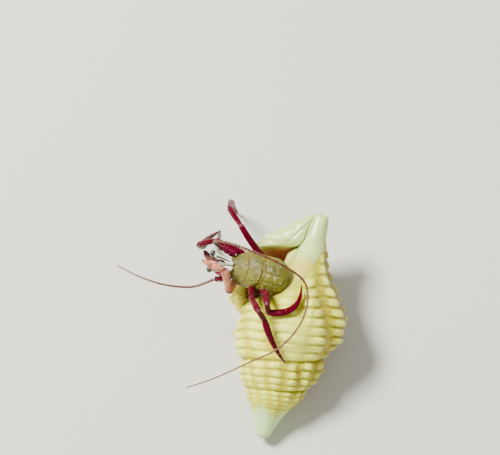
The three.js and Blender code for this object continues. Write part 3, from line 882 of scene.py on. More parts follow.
def mouth_walls(kind, share, s, at_lip, at_start):
    """The hollow behind the lip: its outer edge, and each place's radius, depth in degrees and s."""
    opening = plateau(MOUTH_START - 0.15, MOUTH_START + 0.35, MOUTH_END - 1.5, MOUTH_END, s)
    outer = lerp(at_start, np.minimum(through(MOUTH_OUTER, s), at_lip - LIP_MARGIN), opening)
    inner = lerp(at_start, through(MOUTH_INNER, s), opening)
    halfway = np.clip(np.abs(2 * (s - MOUTH_START) / (MOUTH_END - MOUTH_START) - 1), 0, 1)
    reach = MOUTH_DEPTH * (1 - halfway**MOUTH_ROUNDNESS) ** (1 / MOUTH_ROUNDNESS)

    sides = [kind == ROOF, kind == HOLLOW_END, kind == PILLAR]
    depth = np.select(sides, [share, 1.0, 1 - share], 0.0) * reach
    shrink = 1 - 0.5 * smooth(5, MOUTH_DEPTH, depth)
    wall = np.select(sides, [outer, lerp(outer, inner, share), inner], 0.0)
    wall = lerp(MOUTH_MIDDLE[0], wall, shrink)
    wall = np.where(kind == PILLAR, lerp(at_start, wall, smooth(0, 22, depth)), wall)
    return outer, wall, depth, lerp(MOUTH_MIDDLE[1], s, shrink)


def lip_roll(share, s, at_lip, outer):
    """The rounded, toothed lip, and beyond the mouth the cover of the canal with its slit."""
    frill = FRILL * (0.5 + 0.5 * np.cos(2 * math.pi * FRILL_RATE * s)) * plateau(15.2, 16.2, 20, 22.5, s)
    highest = lerp(0.34, 0.55, smooth(21.5, 23.5, s))
    thickness = np.maximum(at_lip - outer, 0)
    roll = (np.minimum(0.3 * thickness, highest) + frill) * np.sin(math.pi * share) ** 0.7
    rim = lerp(at_lip, outer, share) + frill * 1.2 * np.sin(math.pi * share)

    slit_at = lerp(SLIT_START, 0.5, np.clip((s - MOUTH_END) / (LENGTH - MOUTH_END), 0, 1))
    slit = hump(rim - slit_at, SLIT_WIDTH) * plateau(MOUTH_END - 0.5, MOUTH_END + 0.3, 26.5, 28, s)
    cover = CANAL_COVER * smooth(MOUTH_END - 1.2, MOUTH_END + 0.6, s) * (1 - 0.4 * smooth(26.5, LENGTH, s))
    return rim, roll - SLIT_DEPTH * slit + cover * np.sin(math.pi / 2 * share), cover


def model_shell(look):
    """The shell as one closed surface: outside, rounded lip, the roof of the mouth and its pillar."""
    kinds = np.concatenate([[kind] * count for kind, count in LOOP.items()] + [[OUTSIDE]])
    shares = np.concatenate([np.arange(count) / count for count in LOOP.values()] + [[0]])
    piece, column, row = grid("snail_shell", len(kinds) - 1, SHELL_ROWS)
    kind, share = kinds[column], shares[column]
    s = LENGTH * (row / SHELL_ROWS) ** ROW_SPREAD
    on_outside, on_rim, cavity = kind == OUTSIDE, kind == RIM, kind >= ROOF
    azimuth = np.where(on_outside, 360 * share, 0.0)
    at_lip, at_start = shell_radius(s * 0 + 360.0, s, look), shell_radius(s * 0, s, look)
    outer, wall, depth, hollow_s = mouth_walls(kind, share, s, at_lip, at_start)
    rim, roll, cover = lip_roll(share, s, at_lip, outer)

    radius = np.select([on_outside, on_rim], [shell_radius(azimuth, s, look), rim], wall)
    angle = np.radians(np.where(cavity, -depth, azimuth))
    place_s = np.where(cavity, hollow_s, s)
    lift = np.select([on_rim, on_outside], [roll, cover * (1 - smooth(0, 70, azimuth))], 0.0)
    sideways = radius * np.cos(angle) + canal_shift(place_s)
    points = placed(sideways, radius * np.sin(angle) + lift, stretched(place_s))
    lift_off_floor(reshape(piece, points))

    looks, at_edge = sculpture(azimuth, s, look)[1], sculpture(s * 0 + 360.0, s, look)[1]
    onto_rim = 1 - smooth(0, 0.4, share)
    for name, values in looks.items():
        mark(piece, name, np.select([on_outside, on_rim], [values, at_edge[name] * onto_rim], 0.0))
    glazed_rim = np.maximum(smooth(0.2, 0.6, share), smooth(21, 23, s))
    mark(piece, "callus", np.select([on_outside, on_rim], [looks["callus"], glazed_rim], 1.0))
    mark(piece, "warm", 1 - smooth(21.4, 23.8, s))
    mark(piece, "inside", np.where(cavity, smooth(4, 40, depth), 0.0))
    growth_angle = np.radians(azimuth + RIB_SLANT * np.log(np.maximum(s, 0.3)) / math.log(GROWTH))
    mark(piece, "growth", np.stack([np.cos(growth_angle), np.sin(growth_angle), s * 0.012], 1))
    weld(piece, 2 * WELD_GAP)
    return shade(piece, 75)


# ---- Reading the crab's CAD pieces --------------------------------------------------------------
LimbSpan = namedtuple("LimbSpan", "node start middle end radius outward")
BodyFrame = namedtuple("BodyFrame", "front forward right up length")


def crossings(node, origin, direction):
    """Where a plane cuts the edges of a node."""
    points, edges = node_points(node)
    height = (points - origin) @ direction
    first, second = height[edges[:, 0]], height[edges[:, 1]]
    cut = (first < 0) != (second < 0)
    share = (first[cut] / (first[cut] - second[cut]))[:, None]
    return lerp(points[edges[cut, 0]], points[edges[cut, 1]], share)


def middle_and_radius(ring):
    """The middle of a ring of points, and its mean radius."""
    middle = ring.mean(0)
    return middle, np.linalg.norm(ring - middle, axis=1).mean()


def meeting(first, second):
    """The joint between two neighbouring nodes."""
    a, b = node_points(first)[0], node_points(second)[0]
    gaps = np.linalg.norm(a[:, None] - b[None], axis=2)
    near = gaps < gaps.min() + 0.4 * MM
    return (a[near.any(1)].mean(0) + b[near.any(0)].mean(0)) / 2


def far_end(node, place, share=0.1):
    """The middle of the part of a node that lies furthest from a place."""
    points = node_points(node)[0]
    reach = np.linalg.norm(points - place, axis=1)
    return points[reach > reach.max() * (1 - share)].mean(0)


def limb_spans(*nodes):
    """The pieces of a chain of nodes, from the body outwards."""
    joints = [meeting(a, b) for a, b in zip(nodes, nodes[1:])]
    joints = [far_end(nodes[0], joints[0]), *joints, far_end(nodes[-1], joints[-1], 0.02)]
    heart = (joints[0] + joints[-1]) / 2
    spans = []
    for node, start, end in zip(nodes, joints, joints[1:]):
        middle, radius = middle_and_radius(crossings(node, (start + end) / 2, unit(end - start)))
        spans.append(LimbSpan(node, start, middle, end, radius, middle - heart))
    return spans


def body_frame():
    """The crab's own frame: the front of its body, and its forward, right and up directions."""
    points = node_points("thorax")[0]
    middle = (points.max(0) + points.min(0)) / 2
    axes = np.linalg.svd(points - points.mean(0), full_matrices=False)[2]
    forward, up = axes[0], axes[2]
    forward = forward * np.sign((node_points("eye_left")[0].mean(0) - middle) @ forward)
    up = up * np.sign((node_points("shield")[0].mean(0) - middle) @ up)
    along = (points - middle) @ forward
    section = crossings("thorax", middle, forward)
    axis = (section.max(0) + section.min(0)) / 2
    front = axis + forward * (along.max() - (axis - middle) @ forward)
    return BodyFrame(front, forward, np.cross(forward, up), up, along.max() - along.min())


def on_body(body, ahead, right, above):
    """World points for places in the crab's own frame, in millimetres from the front of the thorax."""
    return (
        body.front
        + MM * np.multiply.outer(ahead, body.forward)
        + MM * np.multiply.outer(right, body.right)
        + MM * np.multiply.outer(above, body.up)
    )


# ---- Laying and planting ------------------------------------------------------------------------
def lay(master, name, span, radii, tuck=0.03):
    """A copy of a master piece, bent along a span. Its x and y follow the radii, its z the length."""
    piece = copied(master, name)
    x, y, z = coordinates(piece).T
    t = lerp(-tuck, 1 + tuck, z)[:, None]
    curve = span.start * (1 - t) * (1 - 2 * t) + span.middle * 4 * t * (1 - t) + span.end * t * (2 * t - 1)
    tangent = unit(span.start * (4 * t - 3) + span.middle * (4 - 8 * t) + span.end * (4 * t - 1))
    outward = np.broadcast_to(span.outward, tangent.shape)
    top = unit(outward - (outward * tangent).sum(1, keepdims=True) * tangent)
    side = np.cross(top, tangent)
    wide, deep = lerp(np.array(radii[0]), np.array(radii[1]), t[:, 0][:, None]).T
    return reshape(piece, curve + side * (x * wide)[:, None] + top * (y * deep)[:, None])


def planted(master, name, roots, directions, lengths, radii):
    """Copies of one small piece as a single mesh, each stood at its root in its own direction."""
    roots, directions = np.asarray(roots, float), unit(np.asarray(directions, float))
    piece = copied(master, name)
    apply_modifier(piece, "ARRAY", count=len(roots))
    side = unit(np.cross(directions, STEADY))
    top = np.cross(directions, side)
    size = np.stack([radii, radii, lengths], 1)[:, None] * coordinates(master)[None]
    points = (
        roots[:, None] + size[..., 0:1] * side[:, None] + size[..., 1:2] * top[:, None]
        + size[..., 2:] * directions[:, None]
    )
    return reshape(piece, points.reshape(-1, 3))


def spined(piece, master, places, length, radius, ahead):
    """Adds horny spines over given places of the piece's master. Ahead leans them to the tip."""
    spots = coordinates(master)
    picks = [int(np.argmin(np.linalg.norm((spots - place) * (1, 1, 6), axis=1))) for place in places]
    points, outward = coordinates(piece), normals(piece)
    tipward = unit(points[np.argmax(spots[:, 2])] - points[np.argmin(spots[:, 2])])
    spike = spike_master("spike")
    mark(spike, "horn", np.full(len(spike.data.vertices), 0.85))
    roots = points[picks] - outward[picks] * radius * 0.5
    grown = planted(
        spike, "spines", roots, outward[picks] + ahead * tipward, np.full(len(picks), length),
        np.full(len(picks), radius),
    )
    discard(spike)
    return joined(piece.name, [piece, grown])


def spike_master(name, bend=0.0, sides=6):
    """A slim pointed cone of unit length and unit radius, bent a little sideways."""
    outline = ((0, 1, 0), (0.35, 0.78, 0.12), (0.7, 0.42, 0.5), (1, 0.05, 1))
    return turned(name, [(height, width, width, bend * aside) for height, width, aside in outline], sides)


def granulate(piece, count, height, size, seed, low, high):
    """Raises small rounded grains on a piece, between two shares of its z extent in its master."""
    chance = np.random.default_rng(seed)
    points, outward = coordinates(piece), normals(piece)
    along = marked(piece, "along")
    pool = np.flatnonzero((along > low) & (along < high))
    grown = np.zeros(len(points))
    for pick in chance.choice(pool, min(count, len(pool)), replace=False):
        gap = ((points - points[pick]) ** 2).sum(1)
        grown = np.maximum(grown, height * chance.uniform(0.5, 1.0) * np.exp(-gap / size**2))
    return reshape(piece, points + outward * grown[:, None])


# ---- The soft body and its shield ---------------------------------------------------------------
BODY_VOXEL = 0.11 * MM
BODY_RINGS, BODY_SIDES = 18, 32
COXA = [(0, 0.5, 0.5, 0), (0.2, 0.9, 0.9, 0), (0.6, 1, 1, 0), (0.9, 0.85, 0.85, 0), (1, 0.6, 0.6, 0)]
FRONT_SHARE, BACK_SHARE = 0.012, 0.985  # the ends of the thorax where its section is still read


def body_profile(body, shares):
    """Half width, half depth and middle of the thorax at shares of its length, from the front."""
    rows = []
    for share in shares:
        ring = crossings("thorax", body.front - body.forward * body.length * share, body.forward) - body.front
        right, above = ring @ body.right, ring @ body.up
        rows.append((np.ptp(right) / 2, np.ptp(above) / 2, (above.max() + above.min()) / 2))
    return np.array(rows)


def limb_roots():
    """The first spans of all limbs, where they leave the body."""
    limbs = [f"leg_{side}_{row}" for side in SIDES for row in ("front", "rear")]
    limbs += [f"claw_{side}" for side in SIDES]
    return [limb_spans(f"{limb}_merus", f"{limb}_carpus")[0] for limb in limbs]


def model_thorax(body):
    """The fore body as a round shape turned ring by ring, with the thorax's own width and depth."""
    shares = np.linspace(FRONT_SHARE, BACK_SHARE, BODY_RINGS)
    half_width, half_depth, rise = body_profile(body, shares).T
    heights = 0.5 * (1 - np.cos(math.pi * np.arange(BODY_RINGS) / (BODY_RINGS - 1)))
    thorax = turned("crab_body", [(height, 1, 1, 0) for height in heights], BODY_SIDES)
    x, y, z = coordinates(thorax).T
    row = np.clip(z, shares[0], shares[-1])
    angle = np.arctan2(y, x)
    size = np.minimum(np.hypot(x, y), 1) * (1 + 0.05 * np.cos(2 * angle) ** 2 * smooth(0.35, 0.6, z))
    right = size * np.interp(row, shares, half_width) * np.cos(angle)
    above = size * np.interp(row, shares, half_depth) * np.sin(angle) + np.interp(row, shares, rise)
    return weld(reshape(thorax, on_body(body, -z * body.length / MM, right / MM, above / MM)))


def model_body():
    """One skin for the thorax, the abdomen and the roots of the limbs."""
    body, spans = body_frame(), limb_roots()
    pieces = [model_thorax(body), model_abdomen(body)]
    for i, span in enumerate(spans):
        reach = span.middle - span.start
        start = span.start - unit(reach) * 0.5 * MM - reach * 0.2
        end = span.start + reach * 0.1
        knob = turned(f"coxa_{i}", COXA)
        root = LimbSpan(span.node, start, (start + end) / 2, end, span.radius, span.outward)
        radii = span.radius * np.multiply.outer((1.1, 0.95), (1, 1))
        pieces.append(lay(knob, f"limb_root_{i}", root, radii))
        discard(knob)
    skin = joined("crab_body", pieces)
    apply_modifier(skin, "REMESH", mode="VOXEL", voxel_size=BODY_VOXEL, use_smooth_shade=True)
    apply_modifier(skin, "SMOOTH", factor=0.5, iterations=4)
    ends = np.array([lerp(span.start, span.middle, 0.12) for span in spans])
    gaps = np.linalg.norm(coordinates(skin)[:, None] - ends[None], axis=2).min(1)
    mark(skin, "root", 1 - smooth(0.55 * MM, MM, gaps))
    return shade(fold(skin, body), 80)


def model_abdomen(body):
    """The soft hind body, which bends down into the shell."""
    points = node_points("abdomen")[0]
    back = body.front - body.forward * body.length * 0.6
    start = points[np.linalg.norm(points - back, axis=1) < 2.4 * MM].mean(0)
    end = far_end("abdomen", start, 0.12)
    middle, radius = middle_and_radius(crossings("abdomen", (start + end) / 2, unit(end - start)))
    folds = [(t, 1 - 0.3 * t**2 + 0.05 * math.cos(40 * t)) for t in np.linspace(0.16, 0.9, 16)]
    outline = [(0, 0.9), (0.1, 0.97), *folds, (0.96, 0.5), (1, 0.25)]
    master = turned("abdomen_master", [(height, size, size, 0) for height, size in outline], 24)
    span = LimbSpan("abdomen", start, middle, end, radius, body.up)
    piece = lay(master, "abdomen", span, [(radius, radius), (radius, radius)])
    discard(master)
    return piece


def fold(skin, body):
    """Presses the midline and the folds of the soft back into the skin."""
    points, outward = coordinates(skin), normals(skin)
    axes = np.stack([body.forward, body.right, body.up], 1)
    ahead, right, above = ((points - body.front) @ axes).T / MM
    top = smooth(-0.2, 0.8, above) * smooth(-body.length / MM, -0.8 * body.length / MM, ahead)
    midline = hump(right, 0.16) * smooth(-3.6, -4.4, ahead)
    sides = hump(np.abs(right) - 1.05 + 0.12 * (ahead + 4), 0.14) * smooth(-3.8, -4.6, ahead)
    across = hump(ahead + 4.75 - 0.35 * np.abs(right), 0.12)
    wrinkle = (0.5 + 0.5 * np.sin(ahead * 7.5 + 0.6 * np.sin(right * 3))) ** 3 * smooth(-4.2, -5.2, ahead)
    deep = top * (0.12 * midline + 0.08 * sides + 0.08 * across + 0.045 * wrinkle)
    lumps = 0.03 * np.sin(ahead * 5.1 + 2 * np.sin(right * 4.3)) * np.sin(right * 5.7 + above * 4.9)
    return reshape(skin, points + outward * ((lumps - deep) * MM)[:, None])


SHIELD_OUTLINE = [
    (0, 0.5), (0.06, 0.74), (0.16, 0.86), (0.35, 0.97), (0.55, 1), (0.75, 0.95), (0.9, 0.84), (1, 0.68),
]
SHIELD_COLUMNS, SHIELD_ROWS = 60, 72
SHIELD_WALL = 0.14 * MM


def model_shield():
    """The hard shield over the front of the body, with a small rostrum and a curved groove."""
    body = body_frame()
    points = (node_points("shield")[0] - body.front) / MM
    front, length = (points @ body.forward).max(), np.ptp(points @ body.forward)
    half = np.ptp(points @ body.right) / 2
    piece, column, row = grid("shield", SHIELD_COLUMNS, SHIELD_ROWS)
    across, back = 2 * column / SHIELD_COLUMNS - 1, row / SHIELD_ROWS
    aside = np.abs(across)

    # Where each place lies on the body: the front edge has a rostrum and two side teeth.
    right = across * through(SHIELD_OUTLINE, back) * (half + 0.02)
    front_edge = 0.42 * hump(across, 0.14) + 0.2 * hump(aside - 0.62, 0.12)
    place = front - 0.15 - back * (length - 0.15)
    place = place + front_edge * (1 - smooth(0, 0.22, back)) + 0.32 * across**2 * smooth(0.7, 1, back)
    shares = np.linspace(FRONT_SHARE, BACK_SHARE, 24)
    profile = body_profile(body, shares).T / MM
    wide, deep, rise = (np.interp(-place, shares * body.length / MM, values) for values in profile)
    wide, deep = np.maximum(wide, 1.15) + 0.1, np.maximum(deep, 0.85)

    # How high it stands there, with its grooves, its rim and a few low lumps.
    arch = np.sqrt(np.clip(1 - (right / (wide * 1.12)) ** 2, 0, 1))
    groove = hump(back - 0.6 + 0.16 * aside**1.5, 0.022) * (1 - smooth(0.72, 0.95, aside))
    side_groove = hump(aside - 0.45 - 0.25 * back, 0.035) * smooth(0.62, 0.7, back)
    rim = np.maximum(smooth(0.9, 1, aside), 1 - plateau(0, 0.05, 0.95, 1, back))
    above = rise + (deep + 0.16) * arch - 0.09 * groove - 0.07 * side_groove + 0.05 * rim - 0.28 * aside**6
    above = above + 0.03 * np.sin(right * 5.2) * np.sin(place * 4.1) * (1 - rim)
    reshape(piece, on_body(body, place, right, above))
    mark(piece, "groove", np.maximum(groove, 0.7 * side_groove))
    mark(piece, "rim", rim)
    if (normals(piece) @ body.up).mean() < 0:
        choose(piece)
        bpy.ops.object.mode_set(mode="EDIT")
        bpy.ops.mesh.select_all(action="SELECT")
        bpy.ops.mesh.flip_normals()
        bpy.ops.object.mode_set(mode="OBJECT")
    apply_modifier(piece, "SOLIDIFY", thickness=SHIELD_WALL, offset=-1)
    return shade(piece, 50)


# ---- Legs ---------------------------------------------------------------------------------------
SEGMENTS = {
    "merus": [
        (0, 0.5, 0.5), (0.03, 0.72, 0.75), (0.1, 0.92, 0.95), (0.3, 1, 1.05), (0.55, 1.02, 1.05),
        (0.8, 0.95, 1), (0.92, 1, 1.05), (0.97, 0.98, 1.02), (1, 0.7, 0.75),
    ],
    "carpus": [
        (0, 0.5, 0.5), (0.05, 0.68, 0.7), (0.2, 0.8, 0.85), (0.45, 0.92, 0.98), (0.7, 1, 1.05),
        (0.88, 1.02, 1.08), (0.96, 0.95, 1), (1, 0.68, 0.7),
    ],
    "propodus": [
        (0, 0.55, 0.55), (0.04, 0.75, 0.78), (0.12, 0.85, 0.88), (0.35, 0.92, 0.95), (0.65, 0.95, 1),
        (0.88, 0.92, 0.97), (0.96, 0.9, 0.95), (1, 0.62, 0.65),
    ],
    "dactylus": [
        (0, 0.6, 0.6), (0.03, 0.85, 0.88), (0.1, 0.98, 1), (0.25, 0.95, 1.02), (0.45, 0.8, 0.9),
        (0.65, 0.6, 0.7), (0.8, 0.42, 0.5), (0.9, 0.26, 0.3), (0.96, 0.14, 0.16), (1, 0.03, 0.03),
    ],
}
HORN_FROM = 0.88
FLATTENING = (0.92, 1.06)  # a leg piece's width and depth against its radius
LEGS = ("leg_right_front", "leg_right_rear", "leg_left_front", "leg_left_rear")
TAPER = {"merus": (1.12, 0.98), "carpus": (1.04, 1.04), "propodus": (1.14, 1.12), "dactylus": (1.6, 1.6)}
LEG_SPINES = {"merus": 0.26, "carpus": 0.26, "propodus": 0.17, "dactylus": 0.17}  # millimetres long
LEG_SPINE_RADIUS = 0.05 * MM


def segment_master(segment):
    """A straight leg piece of unit length and radius, with bands at its joints and a horny tip."""
    piece = subdivide(turned(segment, [(h, w, d, 0) for h, w, d in SEGMENTS[segment]], 12), 2)
    x, y, z = coordinates(piece).T
    ridge = 0.07 * hump(x, 0.22) * (y > 0) * np.sin(math.pi * np.clip(z, 0, 1))
    reshape(piece, np.stack([x, y + ridge, z], 1))
    last = segment == "dactylus"
    band = 1 - smooth(0.0, 0.07, z)
    mark(piece, "band", band if last else np.maximum(band, smooth(0.91, 0.98, z)))
    mark(piece, "horn", smooth(HORN_FROM, HORN_FROM + 0.06, z) if last else z * 0)
    return mark(piece, "along", z)


def spine_places(segment):
    """Where a leg piece carries spines, in its master's own units."""
    if segment == "dactylus":
        return [(0, -1.02 + 0.6 * t**2, t) for t in np.linspace(0.12, 0.84, 9)]
    if segment == "propodus":
        return [(0.35, -0.8, 0.93), (-0.35, -0.8, 0.93), (0, -0.95, 0.7), (0, -0.95, 0.45)]
    if segment == "carpus":
        return [(0, 1.1, 0.9), (0, 1.0, 0.6), (0, 0.9, 0.35)]
    return [(0.4, 0.95, 0.93), (-0.4, 0.95, 0.93)]


def model_legs():
    """Every piece of the walking legs, laid along its CAD piece and set with spines."""
    masters = {segment: segment_master(segment) for segment in SEGMENTS}
    pieces = []
    for leg in LEGS:
        for span in limb_spans(*(f"{leg}_{segment}" for segment in SEGMENTS)):
            segment = span.node.rsplit("_", 1)[1]
            radii = span.radius * np.multiply.outer(TAPER[segment], FLATTENING)
            piece = lay(masters[segment], f"{span.node}_armour", span, radii)
            length = LEG_SPINES[segment] * MM
            piece = spined(piece, masters[segment], spine_places(segment), length, LEG_SPINE_RADIUS, 0.9)
            pieces.append(shade(lift_off_floor(piece), 70))
    discard(*masters.values())
    return pieces


def model_membranes():
    """The soft joints between the armoured pieces."""
    chains = [[f"{leg}_{segment}" for segment in SEGMENTS] for leg in LEGS]
    chains += [[f"claw_{side}_{part}" for part in ("merus", "carpus", "palm")] for side in SIDES]
    places, sizes = [], []
    for chain in chains:
        spans = limb_spans(*chain)
        for before, after in zip(spans, spans[1:]):
            places.append(before.end)
            sizes.append(min(before.radius, after.radius, 0.5 * MM) * 0.74)
    deselect()
    bpy.ops.mesh.primitive_ico_sphere_add(subdivisions=3, radius=1)
    ball = in_order(named(bpy.context.object, "joint_ball"))
    piece = planted(ball, "joint_membranes", places, np.tile((0.0, 0.0, 1.0), (len(places), 1)), sizes, sizes)
    mark(piece, "root", np.zeros(len(piece.data.vertices)))
    discard(ball)
    return shade(lift_off_floor(piece), 80)


# ---- Claws --------------------------------------------------------------------------------------
PALM = [
    (0, 0.38, 0.38, 0), (0.04, 0.55, 0.5, 0), (0.12, 0.78, 0.7, 0), (0.25, 0.95, 0.9, 0), (0.4, 1, 1, 0),
    (0.52, 0.92, 0.95, -0.05), (0.6, 0.62, 0.8, -0.3), (0.66, 0.42, 0.62, -0.52), (0.76, 0.35, 0.48, -0.58),
    (0.88, 0.25, 0.34, -0.54), (0.96, 0.14, 0.2, -0.42), (1, 0.05, 0.07, -0.32),
]
FINGER = [
    (0.5, 0.3, 0.4, 0.35), (0.56, 0.42, 0.6, 0.54), (0.68, 0.38, 0.52, 0.66), (0.8, 0.3, 0.4, 0.7),
    (0.92, 0.19, 0.25, 0.58), (1, 0.05, 0.07, 0.42),
]
ARM_TAPER = {"merus": 1.1, "carpus": 1.14}
GRAIN = (0.075 * MM, 0.085 * MM)  # height and width of the grains on palm and finger
TOOTH, TOOTH_RATE = 0.07 * MM, 22  # height of the teeth, and radians of their wave to a millimetre


def claw_part(name, rings):
    """A straight palm or finger of unit size, marked along its length for its joint band and horny tip."""
    piece = subdivide(turned(name, rings, 16), 3)
    z = coordinates(piece)[:, 2]
    mark(piece, "along", z)
    mark(piece, "band", 1 - smooth(rings[0][0], rings[0][0] + 0.05, z))
    return mark(piece, "horn", 0.85 * smooth(0.9, 0.96, z))


def claw_arm(span, seed):
    """One grained and spined piece of a claw's arm."""
    part = span.node.rsplit("_", 1)[1]
    master = segment_master(part)
    radii = span.radius * ARM_TAPER[part] * np.multiply.outer((0.9, 1.05), (1, 1))
    piece = lay(master, f"{span.node}_armour", span, radii)
    granulate(piece, 26, 0.07 * MM, 0.1 * MM, seed, 0.3, 0.95)
    places = [(0.75, 0.75, t) for t in (0.5, 0.7, 0.9)] + [(-0.75, 0.75, t) for t in (0.55, 0.8)]
    piece = spined(piece, master, places, 0.24 * MM, 0.07 * MM, 0.9)
    discard(master)
    return shade(lift_off_floor(piece), 70)


def model_claw(claw, seed):
    """The arm pieces, the palm with its fixed finger, and the moving finger."""
    palm, finger = f"{claw}_palm", f"{claw}_finger"
    *arm, hand = limb_spans(f"{claw}_merus", f"{claw}_carpus", palm)
    wrist = hand.start
    tips = (far_end(palm, wrist, 0.02) + far_end(finger, wrist, 0.02)) / 2
    reach, axis = np.linalg.norm(tips - wrist), unit(tips - wrist)
    apart = node_points(finger)[0].mean(0) - node_points(palm)[0].mean(0)
    outside = unit(apart - (apart @ axis) * axis)
    normal = np.cross(axis, outside)
    ring = crossings(palm, wrist + axis * reach * 0.33, axis)
    size = np.array((np.ptp(ring @ outside) * 0.51, np.ptp(ring @ normal) * 0.525, reach * 1.02))
    axes = np.stack([outside, normal, axis])

    pieces = [claw_arm(span, seed + i) for i, span in enumerate(arm)]
    for node, rings, grains, grains_from in ((palm, PALM, 150, 0.08), (finger, FINGER, 45, 0.55)):
        piece = claw_part(f"{node}_armour", rings)
        reshape(piece, wrist + (coordinates(piece) * size) @ axes)
        points, outward, along = coordinates(piece), normals(piece), marked(piece, "along")
        gripping = outward @ outside * (1 if node == palm else -1)
        teeth = 0.5 + 0.5 * np.cos(along * reach / MM * TOOTH_RATE)
        bite = smooth(0.75, 0.97, gripping) * plateau(0.6, 0.68, 0.93, 0.98, along)
        reshape(piece, points + outward * (TOOTH * teeth * bite)[:, None])
        granulate(piece, grains, *GRAIN, seed + 7 + grains, grains_from, 0.93)
        pieces.append(shade(lift_off_floor(piece), 80))
    return pieces


# ---- Head ---------------------------------------------------------------------------------------
STALK = [
    (0, 0.9), (0.1, 1.05), (0.25, 0.86), (0.5, 0.78), (0.75, 0.88), (0.9, 1.06), (0.97, 1.02), (1, 0.85),
]
STALK_STRIPES = 4
SCALE = [
    (0, 0.6, 0.35, 0), (0.15, 0.95, 0.5, 0), (0.5, 0.9, 0.42, 0), (0.8, 0.5, 0.26, 0), (1, 0.05, 0.05, 0),
]
SCALE_SIZE = (0.3 * MM, 0.26 * MM)


def model_stalk(side, joint, axis, body):
    """An eyestalk with dark tapered stripes along it."""
    node = f"eyestalk_{side}"
    root = joint + axis * ((node_points(node)[0] - joint) @ axis).min()
    radius = middle_and_radius(crossings(node, joint - axis * 0.35 * MM, axis))[1]
    master = subdivide(turned("stalk", [(height, size, size, 0) for height, size in STALK], 16), 2)
    x, y, z = coordinates(master).T
    wave = np.cos(STALK_STRIPES * np.arctan2(y, x) + 0.9)
    taper = 0.9 - 1.1 * plateau(0.05, 0.3, 0.8, 0.98, z)
    mark(master, "stripe", smooth(taper, taper + 0.4, wave))
    span = LimbSpan(node, root, (root + joint) / 2, joint, radius, body.up)
    stalk = lay(master, f"{node}_skin", span, [(radius, radius)] * 2, 0.0)
    discard(master)
    return stalk


def model_scale(side, joint, body):
    """The pointed scale at the foot of an eyestalk."""
    sign = 1 if side == "right" else -1
    master = subdivide(turned("scale", SCALE, 12), 2)
    mark(master, "stripe", 0.25 * smooth(0.6, 1.0, coordinates(master)[:, 2]))
    across = (joint - body.front) @ body.right / MM
    base = on_body(body, -0.35, 0.3 * sign, 1.3)
    point = on_body(body, 0.85, across * 0.42, 1.52)
    span = LimbSpan("scale", base, (base + point) / 2, point, 0, body.up)
    scale = lay(master, "scale", span, [SCALE_SIZE] * 2, 0.0)
    discard(master)
    return scale


def model_eye(side):
    """An eyestalk with its scale, and the dark cornea on its end."""
    body, node = body_frame(), f"eye_{side}"
    joint = meeting(f"eyestalk_{side}", node)
    axis = unit(far_end(node, joint, 0.04) - joint)
    stalk = model_stalk(side, joint, axis, body)
    stalk = shade(joined(stalk.name, [stalk, model_scale(side, joint, body)]), 70)

    deselect()
    bpy.ops.mesh.primitive_uv_sphere_add(segments=64, ring_count=40, radius=1)
    eye = in_order(named(bpy.context.object, f"{node}_cornea"))
    eye_points = node_points(node)[0] - joint
    half_length = (eye_points @ axis).max() / 2
    half_width = np.linalg.norm(np.cross(eye_points, axis), axis=1).max()
    across = unit(np.cross(axis, body.up))
    axes = np.stack([across * half_width, np.cross(axis, across) * half_width, axis * half_length])
    middle = joint + axis * half_length * 0.92
    return stalk, shade(reshape(eye, middle + coordinates(eye) @ axes), 80)


JOINTED_OUTLINE = ((0.0, 0.7), (0.1, 0.92), (0.45, 0.96), (0.85, 1.06), (0.96, 0.98), (1.0, 0.68))
JOINTED_RINGS = 90


def jointed(name, path, radii, shares, sides=12):
    """A chain of rounded pieces along a path, each a little wider at its far end."""
    rings = []
    for i, (low, high) in enumerate(zip(shares, shares[1:])):
        for t, size in JOINTED_OUTLINE:
            rings.append((lerp(low, high, t * 0.985 + 0.005), size * radii[i]))
    heights, sizes = np.array(rings).T
    fine = np.linspace(0, 1, JOINTED_RINGS)
    line = curve_through(path, JOINTED_RINGS)
    piece = tube(name, line, np.interp(fine, heights, sizes) * MM, sides)
    joint = np.min(np.abs(fine[:, None] - np.array(shares)[None]), axis=1)
    along = marked(piece, "along")
    mark(piece, "band", np.interp(along, fine, 1 - smooth(0.01, 0.035, joint)))
    return mark(piece, "horn", along * 0)


def model_antenna_base(side):
    """The jointed base of a long feeler, with the pointed scale beside it."""
    node = f"antenna_base_{side}"
    body = body_frame()
    end = meeting(node, f"antenna_{side}")
    start = far_end(node, end)
    middle = (start + end) / 2
    piece = jointed(f"{node}_armour", [start, middle, end], (0.44, 0.4, 0.33), (0, 0.36, 0.66, 1))
    sign = 1 if side == "right" else -1
    outward = body.right * sign + body.up * 0.35
    spike = spike_master("acicle", 0.6, 8)
    mark(spike, "horn", smooth(0.7, 1, coordinates(spike)[:, 2]))
    spine = planted(
        spike, "acicle", [lerp(start, end, 0.28) + unit(outward) * 0.3 * MM],
        [unit(end - start) + 0.25 * unit(outward)], [1.05 * MM], [0.14 * MM],
    )
    discard(spike)
    return shade(joined(piece.name, [piece, spine]), 70)


RING_GAP = 0.56 * MM  # wider than a CAD feeler, and less than from one of its rings to the next
FEELER_RING, FEELER_BAND = 0.42 * MM, 1.26 * MM  # from ring to ring, and from pale band to pale band
FEELER_ROOT, FEELER_TIP = 0.19 * MM, 0.08 * MM  # radii


def tube_line(node, start):
    """The middles of the rings of a long thin node, in order from the end nearest to a place."""
    rest = np.unique(np.round(node_points(node)[0], 7), axis=0)
    here, line = start, []
    while len(rest):
        first = rest[np.argmin(np.linalg.norm(rest - here, axis=1))]
        ring = np.linalg.norm(rest - first, axis=1) < RING_GAP
        here = rest[ring].mean(0)
        line.append(here)
        rest = rest[~ring]
    return np.array(line)


